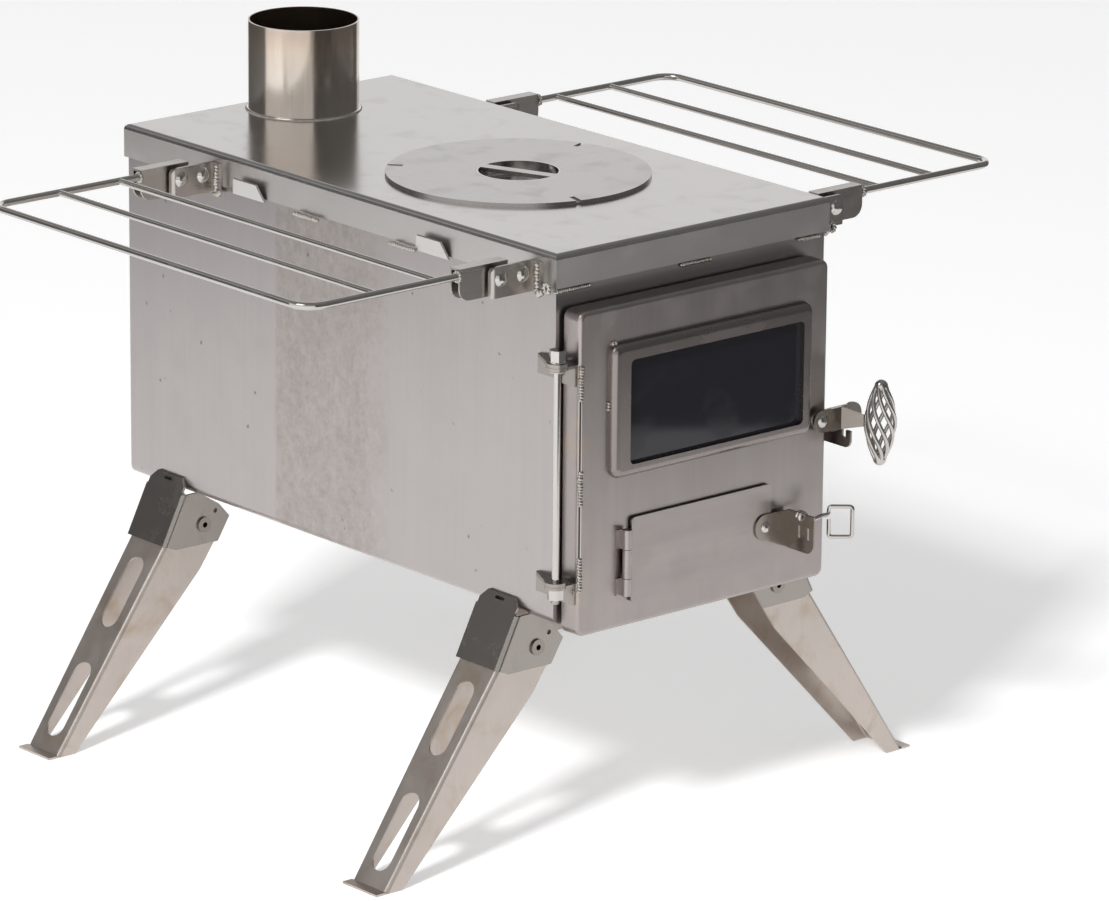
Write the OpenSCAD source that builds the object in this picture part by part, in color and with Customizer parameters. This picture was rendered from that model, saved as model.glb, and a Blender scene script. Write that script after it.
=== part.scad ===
// Folding sheet-steel stove for a tent, in millimetres and Z up.
// The origin lies on the floor, under the middle of the whole object.

/* [Cover] */
// Width of the cover over its side flanges
cover_w = 198; // [180:1:230]
// Length of the cover from front flange to rear flange
cover_l = 377; // [350:1:430]
// Height of the cover's top above the floor
stove_h = 347; // [335:1:370]
// Depth of the flange folded down all round
flange_h = 19; // [15:1:24]
// Thickness of the cover sheet
cover_t = 1.5; // [1:0.1:2]
// Outer radius of the cover's folds
cover_fold_r = 3; // [2.2:0.2:5]

/* [Firebox] */
// Height of the firebox floor above the ground
ground_h = 140; // [130:1:150]
// Thickness of the firebox sheet
wall_t = 1.2; // [0.8:0.1:1.5]
// Outer radius of the fold between floor and walls
floor_fold_r = 5; // [3:0.5:8]
// Distance from the cover's front edge back to the firebox front
front_setback = 2.2; // [2:0.1:4]
// Width of the loading hole in the front frame
mouth_w = 150; // [120:1:160]
// Height of the loading hole in the front frame
mouth_h = 140; // [110:1:145]

/* [Flue] */
// Outer diameter of the flue collar
flue_d = 64; // [55:1:70]
// Wall of the flue collar
flue_wall = 1; // [0.6:0.1:1.5]
// Height of the collar above the cover
flue_rise = 52.5; // [40:0.5:70]
// Distance of the collar's centre from the cover's rear edge
flue_inset = 34; // [34:0.5:45]
// Distance of the collar's centre to the right of the centre plane
flue_shift = 5; // [0:0.5:10]

/* [Lid] */
// Diameter of the cooking lid
lid_d = 148; // [130:1:160]
// Distance of the lid's centre behind the cover's front edge
lid_inset = 147; // [110:1:160]
// Thickness of the lid plate
lid_t = 2; // [1.5:0.1:3]
// Width of the ledge that the lid rests on
lid_lap = 4; // [2:0.5:8]
// Diameter of the pressed finger dish
dish_d = 47.2; // [40:0.2:56]
// Depth of the finger dish
dish_h = 9; // [6:0.5:14]

/* [Main door] */
// Distance of the door's left edge inside the cover's side
door_left_inset = 5.8; // [4:0.1:9]
// Distance of the door's right edge inside the cover's side
door_right_inset = 11.9; // [9:0.1:17]
// Height of the door's lower edge above the floor
door_z = 135.5; // [132:0.1:139]
// Height of the door
door_h = 181.2; // [170:0.1:188]
// Depth of the door pan
door_depth = 13.2; // [11:0.1:16]
// Thickness of the door sheet
door_t = 1.2; // [0.8:0.1:1.5]
// Corner radius of the door
door_corner_r = 5; // [4.5:0.5:10]
// Outer radius of the fold round the door's face
door_fold_r = 2.4; // [1.4:0.1:3]

/* [Window] */
// Distance of the window frame from the door's left edge
window_left = 20.6; // [16:0.2:30]
// Distance of the window frame from the door's right edge
window_right = 14.2; // [13.6:0.2:24]
// Height of the window frame
window_h = 75; // [60:0.5:80]
// Height of the window frame above the door's lower edge
window_rise = 85.5; // [80:0.5:90]
// Width of the window frame's face left of the glass
border_left = 11.5; // [8:0.5:16]
// Width of the window frame's face right of the glass
border_right = 8; // [7:0.5:14]
// Height of the window frame's face below the glass
border_low = 7; // [6.5:0.5:10]
// Height of the window frame's face above the glass
border_high = 9.5; // [6.5:0.5:12]
// Thickness of the glass
glass_t = 4; // [3:0.5:5]

/* [Air flap] */
// Width of the air flap from its hinge pin to its free edge
flap_w = 106.5; // [90:0.5:112]
// Height of the air flap
flap_h = 48; // [40:1:52]
// Height of the air flap above the door's lower edge
flap_rise = 13.5; // [11:0.5:18]
// Distance of the flap's hinge pin from the door's left edge
flap_pin_inset = 31.7; // [24:0.1:36]
// Thickness of the flap sheet
flap_t = 1; // [0.8:0.1:1.5]

/* [Latches] */
// Distance of the main latch rivet from the door's right edge
latch_inset = 6.5; // [6:0.1:8]
// Height of the main latch rivet above the door's lower edge
latch_rise = 90.8; // [70:0.2:110]
// Height of the main latch lever
lever_h = 13; // [11:0.5:16]
// Thickness of the latch sheet
lever_t = 1.5; // [1:0.1:2]
// Distance of the handle's axis in front of the door face
handle_out = 25.5; // [22:0.5:32]
// Length of the cage handle
cage_h = 49; // [40:1:60]
// Diameter of the cage handle at its middle
cage_d = 18.5; // [15:0.5:24]
// Diameter of a rod of the cage handle
cage_rod = 2.4; // [1.8:0.1:3]
// Diameter of the wire in the air flap's grip
grip_wire = 3; // [2.2:0.1:3.4]

/* [Legs] */
// Distance of a foot's outer face outside the cover's side
foot_out = 93; // [86:1:106]
// Distance of the leg pivots inside the cover's side
pivot_inset = 10.4; // [9:0.2:13]
// Depth of the leg pivots below the firebox floor
pivot_drop = 19.8; // [18:0.2:24]
// Distance of the leg pivot from the leg's outer face
pivot_in = 16.8; // [15:0.2:17]
// Distance of the front legs' middle behind the cover's front edge
leg_front = 43.6; // [38:0.2:60]
// Distance of the rear legs' middle in front of the cover's rear edge
leg_rear = 40; // [35:0.2:60]
// Depth of a leg's flanges at its foot
leg_flange_foot = 8; // [6:0.5:16]
// Width of a leg at its pivot
leg_top_w = 33; // [30:0.2:33.2]
// Width of a leg at its foot
leg_foot_w = 28.7; // [26:0.1:29.5]
// Thickness of the leg sheet
leg_t = 1.2; // [1:0.1:1.4]
// Outer radius of a leg's folds
leg_fold_r = 2.4; // [1.6:0.1:4]

/* [Racks] */
// Distance of a rack's pivot outside the cover's side
rack_pivot_out = 22.6; // [19:0.2:27]
// Depth of the rack pivots below the cover's top
rack_pivot_drop = 13; // [11:0.2:15]
// Distance of a rack's outer rail outside the cover's side
rack_out = 150; // [136:1:171]
// Distance of a rack's front arm behind the cover's front edge
rack_front = 25; // [23:0.2:30]
// Distance between a rack's front and rear arms
rack_l = 276; // [240:1:278]
// Diameter of the rack's frame rod
rod_d = 4.2; // [3.9:0.1:5]
// Diameter of the rack's two inner rails
rail_d = 3.6; // [3:0.1:3.8]

/* [Door hinge] */
// Distance of the hinge rod outside the cover's side
hinge_out = 4; // [3:0.1:7]
// Distance of the hinge rod in front of the cover's front edge
hinge_y = 6; // [5:0.1:8]
// Diameter of the hinge rod
hinge_d = 4; // [3:0.1:4.5]
// Height of the upper pair of hinge ears above the door's lower edge
ear_top_rise = 154.5; // [130:0.5:165]
// Height of the lower pair of hinge ears above the door's lower edge
ear_low_rise = 32.5; // [24:0.5:50]

/* [Hidden] */
$fn = 48;
// Clearances: sheet laid against sheet, running pin, open gap between moving pieces, cut overrun
seat_gap = 0.1;
pin_gap = 0.05;
free_gap = 0.3;
over = 1;
slip_gap = 1;

// Cover and firebox
cover_half = cover_w / 2;
cover_under = stove_h - cover_t;
flange_z = stove_h - flange_h;
body_half = cover_half - cover_t - free_gap;
body_front = front_setback;
body_rear = cover_l - cover_t - free_gap;
body_l = body_rear - body_front;
wall_top = stove_h - cover_fold_r;
inner_half = body_half - wall_t;
frame_lip = 10;
mouth_corner_r = 8;
mouth_z = ground_h + 12 * wall_t;
back_lip = 10;
weld_r = 1.2;
lug_h = 10;
lug_lean = 3;
lug_base = 28;
lug_top = 20;
lug_t = 1.2;
lug_low = 1;
lug_places_share = [0.268, 0.692];
cook_r = lid_d / 2 - lid_lap;

// Inner pieces
baffle_l = 130;
baffle_drop = 52;
baffle_z = stove_h - baffle_drop;
baffle_lip = 14;
grate_margin = 6;
grate_h = 12;
grate_t = 2;
grate_slot_w = 7;
grate_slot_pitch = 20;
grate_bridge = 14;

// Lid
lid_notch_w = 3;
lid_notch_l = 9;
lid_notch_angles = [20, 131, 256];
dish_fold_r = 3;
grip_w = 7;
grip_t = 2.2;
grip_angle = 69;
ring_h = 4;
ring_t = 1.2;

// Door
door_left = cover_half - door_left_inset;
door_right = cover_half - door_right_inset;
door_w = door_left + door_right;
door_mid_x = (door_right - door_left) / 2;
door_mid_z = door_z + door_h / 2;
door_face = -door_depth;
liner_gap = 0.2;
liner_lip = 8;
gasket_w = 9;
gasket_corner_r = 14;
gasket_t = front_setback - free_gap;
gasket_margin = 5;

// Window
window_w = door_w - window_left - window_right;
window_x = door_mid_x + (window_left - window_right) / 2;
window_z = door_z + window_rise;
sight_w = window_w - border_left - border_right;
sight_h = window_h - border_low - border_high;
sight_x = window_x + (border_left - border_right) / 2;
sight_z = window_z + border_low;
frame_fold_r = 4.4;
frame_rise = 5;
glass_back = 3.2;
frame_t = 1.2;
frame_corner_r = 6;
sight_corner_r = 3;
glass_lap = 4;
glass_w = sight_w + 2 * glass_lap;
glass_h = sight_h + 2 * glass_lap;
clip_w = 12;
clip_l = 9;
clip_t = 1.2;
clip_places_share = [-0.3, 0.3];

// Air flap
flap_z = door_z + flap_rise;
flap_pin_x = door_left - flap_pin_inset;
flap_stand = 2.2;
flap_front = door_face - flap_stand;
flap_x = flap_w - flap_pin_x;
flap_stem = 4.5;
flap_edge_r = 2.4;
barrel_r = 2.6;
pin_r = 1.2;
barrel_inset = 5.4;
barrel_z = flap_z + barrel_inset;
barrel_h = flap_h - 2 * barrel_inset;
knuckle_cuts_share = [0.265, 0.706];
knuckle_gap = 0.3;
leaf_w = 5;
flap_pin_y = flap_front + flap_t - barrel_r;
inlet_w = 84;
inlet_h = 30;
inlet_right = 9;
inlet_x = flap_x - inlet_right - inlet_w / 2;
inlet_r = 6;

// Air flap latch
flap_latch_inset = 5;
flap_latch_x = flap_x - flap_latch_inset;
flap_latch_z = flap_z + flap_h / 2;
flap_lever_t = 1;
flap_lever_y = flap_front - seat_gap;
flap_lever_r = 7.4;
flap_lever_out = 18.5;
flap_lever_low = 15;
flap_lever_high = 7;
flap_ear_d = 20.9;
flap_ear_r = 6;
flap_ear_slots_share = [0.79, 0.445];
flap_tongue_l = 8.8;
flap_tongue_h = 4;
flap_tongue_low = 8;
catch_away = 4.3;
catch_lip_w = 4.9;
catch_h = 9;
catch_base_w = 6;
catch_t = 1.2;
loop_w = 12;
loop_h = 16.8;
loop_reach = 17.5;
loop_turn = 40;
loop_top = 7.3;
wire_top = 3;
wire_out = 12.4;

// Main latch
latch_x = door_right - latch_inset;
latch_z = door_z + latch_rise;
washer_h = 2.8;
lever_front = door_face - washer_h - lever_t;
lever_r = lever_h / 2;
lever_tip = 22;
lever_tip_r = 7.2;
rivet_r = 2;
rivet_head_r = 3.6;
rivet_head_h = 2;
washer_r = 4.5;
arm_foot_l = 8;
arm_root = 13.4;
arm_t = 1.5;
handle_right = 23.4;
handle_x = latch_x + handle_right;
handle_y = door_face - handle_out;
full_turn = 360;
cage_turn = 150;
cage_start = -90;
cage_rods = 8;
cage_steps = 12;
cage_sides = 6;
cage_cap_r = 3.8;
cage_cap_h = 5;
cage_end_r = cage_cap_r * 0.55;
cage_rod_share = 0.9;
keeper_t = 1.5;
keeper_low = 17.7;
keeper_high = 0.5;
keeper_back = 16;
keeper_lip = 3.4;
keeper_lip_gap = 0.6;
keeper_slack = 0.8;
keeper_pocket = 4.2;
keeper_corner_r = 4;

// Hinge
ear_r = 6;
ear_t = 2;
ear_foot_h = 11;
ear_foot_t = 1.5;
ear_reach = 15;
hinge_x = cover_half + hinge_out;
ear_top_z = door_z + ear_top_rise;
ear_low_z = door_z + ear_low_rise;
door_ear_t = 1.7;
door_ear_l = 11;
door_ear_foot = 12;
hex_r = 4.6;
hex_h = 7;
nut_h = 6;
hinge_tail = 2.5;

// Legs
foot_reach = cover_half + foot_out;
pivot_x = cover_half - pivot_inset;
pivot_z = ground_h - pivot_drop;
leg_outer_a = atan2(foot_reach - pivot_x, pivot_z);
pivot_span = norm([foot_reach - pivot_x, pivot_z]);
leg_turn = asin(pivot_in / pivot_span);
leg_splay = leg_outer_a - leg_turn;
leg_l = sqrt(pivot_span * pivot_span - pivot_in * pivot_in);
leg_flange_top = 31;
leg_head_r = leg_flange_top - pivot_in;
leg_web_start = 2;
leg_slot_r = 7.2;
leg_slots_share = [[0.209, 0.491], [0.637, 0.932]];
foot_lip = 6;
bracket_t = 1.5;
bracket_w = leg_top_w + 2 * bracket_t + 2 * free_gap;
bracket_fold_r = 2.6;
bracket_tab_w = 31;
bracket_tab_cut = 4.5;
bracket_rise = 8.3;
bracket_stop_u = 22.9;
bracket_slot_w = 7.6;
bracket_slot_h = 1.6;
bracket_slot_drop = 2.4;
bracket_out = pivot_in + bracket_t + free_gap;
bracket_foot_x = -pivot_x - bracket_out * cos(leg_splay) - bracket_stop_u * sin(leg_splay);
bracket_foot_z = pivot_z + bracket_out * sin(leg_splay) - bracket_stop_u * cos(leg_splay);
bracket_hole_r = 1.4;
bracket_hole_x = 8.5;
bracket_hole_z = 6.8;
pivot_r = 3;
pivot_bore_r = 1.6;
pivot_head_r = 4.6;
pivot_head_h = 1.2;
bracket_foot_low = 3.2;
bracket_foot_in = 8;
bracket_low_x = 10.2;
bracket_low_z = 11.8;
bracket_in_x = 18.7;
bracket_in_z = 1.9;
bracket_up_x = 11.3;
bracket_up_z = 10.3;

// Racks
rack_pivot_z = stove_h - rack_pivot_drop;
rack_pivot_x = cover_half + rack_pivot_out;
rack_reach = cover_half + rack_out;
rack_drop = 9;
rack_z = stove_h - rack_drop;
rack_corner_r = 12;
rack_rails_share = [0.305, 0.632];
ear_w = 28.6;
rack_ear_h = 17.3;
rack_ear_low = 10.3;
rack_ear_r = 2.6;
rack_ear_round = 4;
rack_ear_t = 1.5;
rack_ear_lip = 4;
rack_ear_fold = 6.8;
tab_depth = 8;
tab_t = 1.2;
tab_out = 24.4;
tab_in = 9;
tab_rise = 8;
tab_low = 10;
tab_round = 7;
rack_rivet_r = 2.5;
rack_head_r = 4.5;
rack_head_h = 2.2;
stop_in = 15.4;

// The frame's origin: halfway between the handle's front and the cover's rear
front_reach = -handle_y + cage_d / 2;
mid_y = (cover_l - front_reach) / 2;

steel_bright = [0.78, 0.77, 0.76];
steel_grey = [0.67, 0.65, 0.63];
steel_door = [0.5, 0.48, 0.46];
steel_leg = [0.66, 0.62, 0.58];
steel_dark = [0.38, 0.37, 0.35];
glass_dark = [0.14, 0.14, 0.16];
rope_grey = [0.3, 0.3, 0.3];

// Everything below is drawn with y = 0 at the cover's front edge, and then moved into the frame.
module in_frame() {
    translate([0, -mid_y, 0])
        children();
}

// One side is drawn on the left, at negative x, and side = 1 mirrors it to the right.
module on_side(side) {
    mirror([side, 0, 0])
        children();
}

// Turns a drawing in x and z into a plate that fills y from front to front + depth.
module plate_y(front, depth) {
    translate([0, front + depth, 0])
        rotate([90, 0, 0])
            linear_extrude(depth)
                children();
}

module round_rect(w, h, r) {
    square([w - 2 * r, h], center = true);
    square([w, h - 2 * r], center = true);
    for (sx = [-1, 1], sz = [-1, 1])
        translate([sx * (w / 2 - r), sz * (h / 2 - r)])
            circle(r);
}

module rod_y(x, z, front, depth, r) {
    translate([x, front + depth, z])
        rotate([90, 0, 0])
            cylinder(h = depth, r = r);
}

// A straight rod between two points.
module rod_between(a, b, r) {
    run = b - a;
    translate(a)
        rotate([0, acos(run.z / norm(run)), atan2(run.y, run.x)])
            cylinder(h = norm(run), r = r);
}

module bent_wire(points, r) {
    for (i = [1 : len(points) - 1])
        rod_between(points[i - 1], points[i], r);
    for (p = points)
        translate(p)
            sphere(r);
}

// Rivet along y with a domed head at its front and a flat tail.
module rivet_y(x, z, face, shank, r, head_r, head_h, tail_h) {
    dome_r = (head_r * head_r + head_h * head_h) / (2 * head_h);
    translate([x, face, z])
        rotate([90, 0, 0]) {
            intersection() {
                translate([0, 0, head_h - dome_r])
                    sphere(dome_r);
                cylinder(h = head_h, r = head_r);
            }
            translate([0, 0, -shank])
                cylinder(h = shank, r = r);
            translate([0, 0, -shank - tail_h])
                cylinder(h = tail_h, r = head_r);
        }
}

// A plate of rounded outline whose front edge is folded back all round with radius fold.
module folded_plate(x, z, w, h, corner, fold, front, depth) {
    round_x = w / 2 - corner;
    round_z = h / 2 - corner;
    axis_y = front + fold;
    plate_y(axis_y, depth - fold)
        translate([x, z])
            round_rect(w, h, corner);
    plate_y(front, fold)
        translate([x, z])
            round_rect(w - 2 * fold, h - 2 * fold, corner - fold);
    for (flip_x = [0, 1], flip_z = [0, 1])
        translate([x, axis_y, z])
            mirror([flip_x, 0, 0])
                mirror([0, 0, flip_z]) {
                    translate([w / 2 - fold, 0, 0])
                        linear_extrude(round_z)
                            mirror([0, 1])
                                quarter(fold);
                    translate([0, 0, h / 2 - fold])
                        rotate([90, 0, 90])
                            linear_extrude(round_x)
                                mirror([1, 0])
                                    quarter(fold);
                    translate([round_x, 0, round_z])
                        rotate([90, 0, 0])
                            rotate_extrude(angle = 90)
                                translate([corner - fold, 0])
                                    quarter(fold);
                }
}

module quarter(r) {
    intersection() {
        circle(r);
        square([r, r]);
    }
}

// Cover: a sheet folded down on all four sides, with the cooking hole and the flue hole.
module cover_block(inset, drop) {
    r = cover_fold_r - inset;
    w = cover_w - 2 * inset;
    l = cover_l - 2 * inset;
    top = stove_h - inset;
    low = flange_z - drop;
    intersection() {
        plate_y(inset, l)
            fold_section(w, top, low, r);
        translate([-w / 2, cover_l / 2, 0])
            rotate([90, 0, 90])
                linear_extrude(w)
                    fold_section(l, top, low, r);
    }
}

module fold_section(w, top, low, r) {
    translate([-w / 2, low])
        square([w, top - r - low]);
    translate([r - w / 2, low])
        square([w - 2 * r, top - low]);
    for (s = [-1, 1])
        translate([s * (w / 2 - r), top - r])
            circle(r);
}

module lug(y) {
    lean = atan2(lug_lean, lug_h);
    translate([-cover_half - lug_t / 2, y, flange_z - lug_low])
        rotate([90, 0, -90])
            rotate([lean, 0, 0])
                linear_extrude(lug_t)
                    polygon([
                        [-lug_base / 2, 0], [lug_base / 2, 0], [lug_top / 2, lug_h], [-lug_top / 2, lug_h]
                    ]);
}

module cover() color(steel_bright) {
    difference() {
        cover_block(0, 0);
        cover_block(cover_t, over);
        translate([0, lid_inset, flange_z])
            cylinder(h = flange_h + over, r = cook_r);
        translate([flue_shift, cover_l - flue_inset, flange_z])
            cylinder(h = flange_h + over, r = flue_d / 2 - flue_wall / 2);
    }
    for (side = [0, 1], share = lug_places_share)
        on_side(side)
            lug(cover_l * share);
}

module flue_collar() color(steel_bright) {
    translate([flue_shift, cover_l - flue_inset, stove_h])
        rotate_extrude()
            difference() {
                union() {
                    translate([flue_d / 2 - flue_wall, 0])
                        square([flue_wall, flue_rise]);
                    translate([flue_d / 2, 0])
                        circle(weld_r);
                }
                translate([0, -over - weld_r])
                    square([flue_d, over + weld_r]);
                translate([flue_d / 2 - flue_wall - over, -over])
                    square([over, flue_rise + 2 * over]);
            }
}

// Firebox: one sheet folded into floor and walls.
module shell_section(inset, top) {
    r = floor_fold_r - inset;
    half = body_half - inset;
    low = ground_h + inset;
    translate([-half, low + r])
        square([2 * half, top - low - r]);
    translate([r - half, low])
        square([2 * (half - r), r + over]);
    for (s = [-1, 1])
        translate([s * (half - r), low + r])
            circle(r);
}

module firebox_shell() color(steel_grey)
    plate_y(body_front, body_l)
        difference() {
            shell_section(0, wall_top);
            shell_section(wall_t, wall_top + over);
        }

// A pan that closes one end of the firebox: a plate with a lip that runs inward along the sheet.
module end_pan(front, lip, forward) {
    gap = wall_t + seat_gap;
    plate_at = forward ? front : front + lip - wall_t;
    hollow_at = forward ? front + wall_t : front - over;
    difference() {
        plate_y(front, lip)
            shell_section(gap, wall_top - seat_gap);
        plate_y(hollow_at, lip - wall_t + over)
            shell_section(gap + wall_t, wall_top - seat_gap - wall_t);
        if (forward)
            plate_y(plate_at - over, wall_t + 2 * over)
                translate([door_mid_x, mouth_z + mouth_h / 2])
                    round_rect(mouth_w, mouth_h, mouth_corner_r);
    }
}

module front_frame() color(steel_grey)
    end_pan(body_front, frame_lip, true);

module back_panel() color(steel_grey)
    end_pan(body_rear - back_lip, back_lip, false);

// Baffle: sends the flame forward before it reaches the flue.
module baffle_plate() color(steel_dark) {
    half = inner_half - seat_gap;
    rear = body_rear - back_lip - seat_gap;
    plate_y(rear - baffle_l, baffle_l)
        difference() {
            translate([-half, baffle_z - baffle_lip])
                square([2 * half, baffle_lip]);
            translate([wall_t - half, baffle_z - baffle_lip - over])
                square([2 * (half - wall_t), baffle_lip + over - wall_t]);
        }
}

// Fire grate: a slotted plate on two folded sides.
module fire_grate() color(steel_dark) {
    half = inner_half - grate_margin;
    front = body_front + frame_lip + grate_margin;
    length = body_l - frame_lip - back_lip - 2 * grate_margin;
    rows = floor((length - grate_slot_pitch) / grate_slot_pitch);
    slot_l = half - grate_bridge - grate_t;
    first = front + (length - (rows - 1) * grate_slot_pitch) / 2;
    low = ground_h + wall_t;
    difference() {
        plate_y(front, length)
            difference() {
                translate([-half, low])
                    square([2 * half, grate_h]);
                translate([grate_t - half, low - over])
                    square([2 * (half - grate_t), grate_h - grate_t + over]);
            }
        for (side = [-1, 1], row = [0 : rows - 1])
            translate([side * half / 2, first + row * grate_slot_pitch, low])
                linear_extrude(grate_h + over)
                    round_rect(slot_l, grate_slot_w, grate_slot_w / 2 - seat_gap);
    }
}

// Cooking lid: plate with a locating ring, finger dish and grip bar.
module lid_place() {
    translate([0, lid_inset, stove_h])
        children();
}

module lid_plate() color(steel_bright)
    lid_place()
        difference() {
            union() {
                cylinder(h = lid_t, r = lid_d / 2);
                translate([0, 0, -ring_h])
                    difference() {
                        cylinder(h = ring_h, r = cook_r - slip_gap);
                        translate([0, 0, -over])
                            cylinder(h = ring_h + over, r = cook_r - slip_gap - ring_t);
                    }
            }
            translate([0, 0, -over])
                cylinder(h = lid_t + 2 * over, r = dish_d / 2 + seat_gap);
            for (a = lid_notch_angles)
                rotate([0, 0, a])
                    translate([lid_d / 2 - lid_notch_l, -lid_notch_w / 2, lid_t / 2])
                        cube([lid_notch_l + over, lid_notch_w, lid_t]);
        }

module lid_dish() color(steel_bright)
    lid_place()
        rotate_extrude()
            dish_section();

module dish_section() {
    r = dish_d / 2;
    deep = lid_t - dish_h;
    translate([r - ring_t, deep + dish_fold_r])
        square([ring_t, dish_h - dish_fold_r]);
    translate([0, deep])
        square([r - dish_fold_r, ring_t]);
    translate([r - dish_fold_r, deep + dish_fold_r])
        intersection() {
            difference() {
                circle(dish_fold_r);
                circle(dish_fold_r - ring_t);
            }
            translate([0, -dish_fold_r])
                square([dish_fold_r, dish_fold_r]);
        }
}

module lid_grip() color(steel_bright)
    lid_place()
        translate([0, 0, lid_t - grip_t])
            linear_extrude(grip_t)
                intersection() {
                    circle(dish_d / 2 - ring_t - pin_gap);
                    rotate([0, 0, -grip_angle])
                        square([dish_d, grip_w], center = true);
                }

// Main door: outer pan, inner liner, gasket, window and hinge ears.
module door_outline(inset) {
    translate([door_mid_x, door_mid_z])
        round_rect(door_w - 2 * inset, door_h - 2 * inset, door_corner_r - inset);
}

module window_hole(w, h, r) {
    translate([sight_x, sight_z + sight_h / 2])
        round_rect(w, h, r);
}

module inlet_hole() {
    translate([inlet_x, flap_z + flap_h / 2])
        round_rect(inlet_w, inlet_h, inlet_r);
}

module door_panel() color(steel_door)
    difference() {
        folded_plate(door_mid_x, door_mid_z, door_w, door_h, door_corner_r, door_fold_r,
            door_face, door_depth);
        plate_y(door_face + door_t, door_depth)
            door_outline(door_t);
        plate_y(door_face - over, door_t + 2 * over) {
            window_hole(glass_w + 2 * seat_gap, glass_h + 2 * seat_gap, sight_corner_r);
            inlet_hole();
        }
        rod_y(latch_x, latch_z, door_face - over, door_t + 2 * over, rivet_r + pin_gap);
    }

module door_liner() color(steel_dark)
    difference() {
        plate_y(-liner_lip, liner_lip)
            door_outline(door_t + liner_gap);
        plate_y(-liner_lip - door_t, liner_lip)
            door_outline(2 * door_t + liner_gap);
        plate_y(-door_t - over, door_t + 2 * over) {
            window_hole(sight_w, sight_h, sight_corner_r);
            inlet_hole();
        }
    }

module door_gasket() color(rope_grey)
    plate_y(0, gasket_t)
        translate([door_mid_x, door_mid_z])
            difference() {
                gasket_outline(gasket_margin, gasket_corner_r);
                gasket_outline(gasket_margin + gasket_w, gasket_corner_r - gasket_w);
            }

module gasket_outline(margin, r) {
    round_rect(door_w - 2 * margin, door_h - 2 * margin, r);
}

// Rounded frame round the glass, with a collar that holds the glass back from its face.
module frame_block(inset) {
    folded_plate(window_x, window_z + window_h / 2, window_w - 2 * inset, window_h - 2 * inset,
        frame_corner_r - inset, frame_fold_r - inset, door_face - frame_rise + inset, frame_rise);
}

module window_frame() color(steel_door)
    difference() {
        frame_block(0);
        difference() {
            frame_block(frame_t);
            plate_y(door_face - frame_rise, glass_back)
                window_hole(sight_w + 2 * frame_t, sight_h + 2 * frame_t, sight_corner_r + frame_t);
        }
        plate_y(door_face - frame_rise - over, frame_rise + over)
            window_hole(sight_w, sight_h, sight_corner_r);
    }

module window_glass() color(glass_dark)
    plate_y(door_face - frame_rise + glass_back, glass_t)
        window_hole(glass_w, glass_h, sight_corner_r);

module glass_clips() color(steel_dark) {
    rear = door_face - frame_rise + glass_back + glass_t;
    foot = rear - door_face - door_t;
    for (share = clip_places_share, side = [-1, 1])
        translate([sight_x + share * sight_w, 0, sight_z + sight_h / 2])
            mirror([0, 0, side > 0 ? 0 : 1])
                translate([-clip_w / 2, 0, glass_h / 2]) {
                    translate([0, rear, -glass_lap])
                        cube([clip_w, clip_t, glass_lap + clip_l]);
                    translate([0, door_face + door_t, slip_gap])
                        cube([clip_w, foot + clip_t, clip_l - slip_gap]);
                }
}

// Hinge: a plain rod through an ear on the body and an ear on the door, at two heights.
module ear_plate(t) {
    linear_extrude(t)
        difference() {
            union() {
                translate([-hinge_x, -hinge_y])
                    circle(ear_r);
                polygon([
                    [-hinge_x - ear_r, -hinge_y],
                    [-hinge_x, -hinge_y - ear_r],
                    [-body_half - ear_foot_t, body_front],
                    [-body_half - ear_foot_t, ear_reach]
                ]);
                translate([-body_half - ear_foot_t, body_front])
                    square([ear_foot_t, ear_reach - body_front]);
            }
            translate([-hinge_x, -hinge_y])
                circle(hinge_d / 2 + pin_gap);
        }
}

module body_hinge_ears() color(steel_grey)
    for (z = [ear_top_z - ear_t, ear_low_z - ear_t])
        translate([0, 0, z]) {
            ear_plate(ear_t);
            translate([-body_half - ear_foot_t, body_front, ear_t - ear_foot_h])
                cube([ear_foot_t, ear_reach - body_front, ear_foot_h]);
        }

module door_hinge_ears() color(steel_door) {
    foot_x = -door_left - ear_foot_t;
    for (z = [ear_top_z - ear_t, ear_low_z - ear_t])
        translate([0, 0, z - seat_gap - door_ear_t]) {
            linear_extrude(door_ear_t)
                difference() {
                    union() {
                        translate([-hinge_x, -hinge_y])
                            circle(ear_r);
                        translate([-hinge_x, -door_ear_l - seat_gap])
                            square([hinge_x - door_left, door_ear_l]);
                    }
                    translate([-hinge_x, -hinge_y])
                        circle(hinge_d / 2 + pin_gap);
                }
            translate([foot_x, -door_ear_l - seat_gap, door_ear_t - door_ear_foot])
                cube([ear_foot_t, door_ear_l, door_ear_foot]);
        }
}

module hinge_rod() color(steel_bright) {
    low = ear_low_z - ear_t - door_ear_t - nut_h - hinge_tail - 2 * seat_gap;
    translate([-hinge_x, -hinge_y, low])
        cylinder(h = ear_top_z - low, r = hinge_d / 2);
    translate([-hinge_x, -hinge_y, ear_top_z])
        cylinder(h = hex_h, r = hex_r, $fn = 6);
}

module hinge_nut() color(steel_bright)
    translate([-hinge_x, -hinge_y, ear_low_z - ear_t - door_ear_t - nut_h - 2 * seat_gap])
        difference() {
            cylinder(h = nut_h, r = hex_r, $fn = 6);
            translate([0, 0, -over])
                cylinder(h = nut_h + 2 * over, r = hinge_d / 2 + pin_gap);
        }

// Air flap: rolled-knuckle hinge on the door face, plate, and its turning latch.
module knuckles(first, last) {
    low = barrel_z + barrel_h * first + (first > 0 ? knuckle_gap / 2 : 0);
    high = barrel_z + barrel_h * last - (last < 1 ? knuckle_gap / 2 : 0);
    translate([-flap_pin_x, flap_pin_y, low])
        cylinder(h = high - low, r = barrel_r);
}

module flap_pin_bore() {
    translate([-flap_pin_x, flap_pin_y, barrel_z - over])
        cylinder(h = barrel_h + 2 * over, r = pin_r + pin_gap);
}

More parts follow.
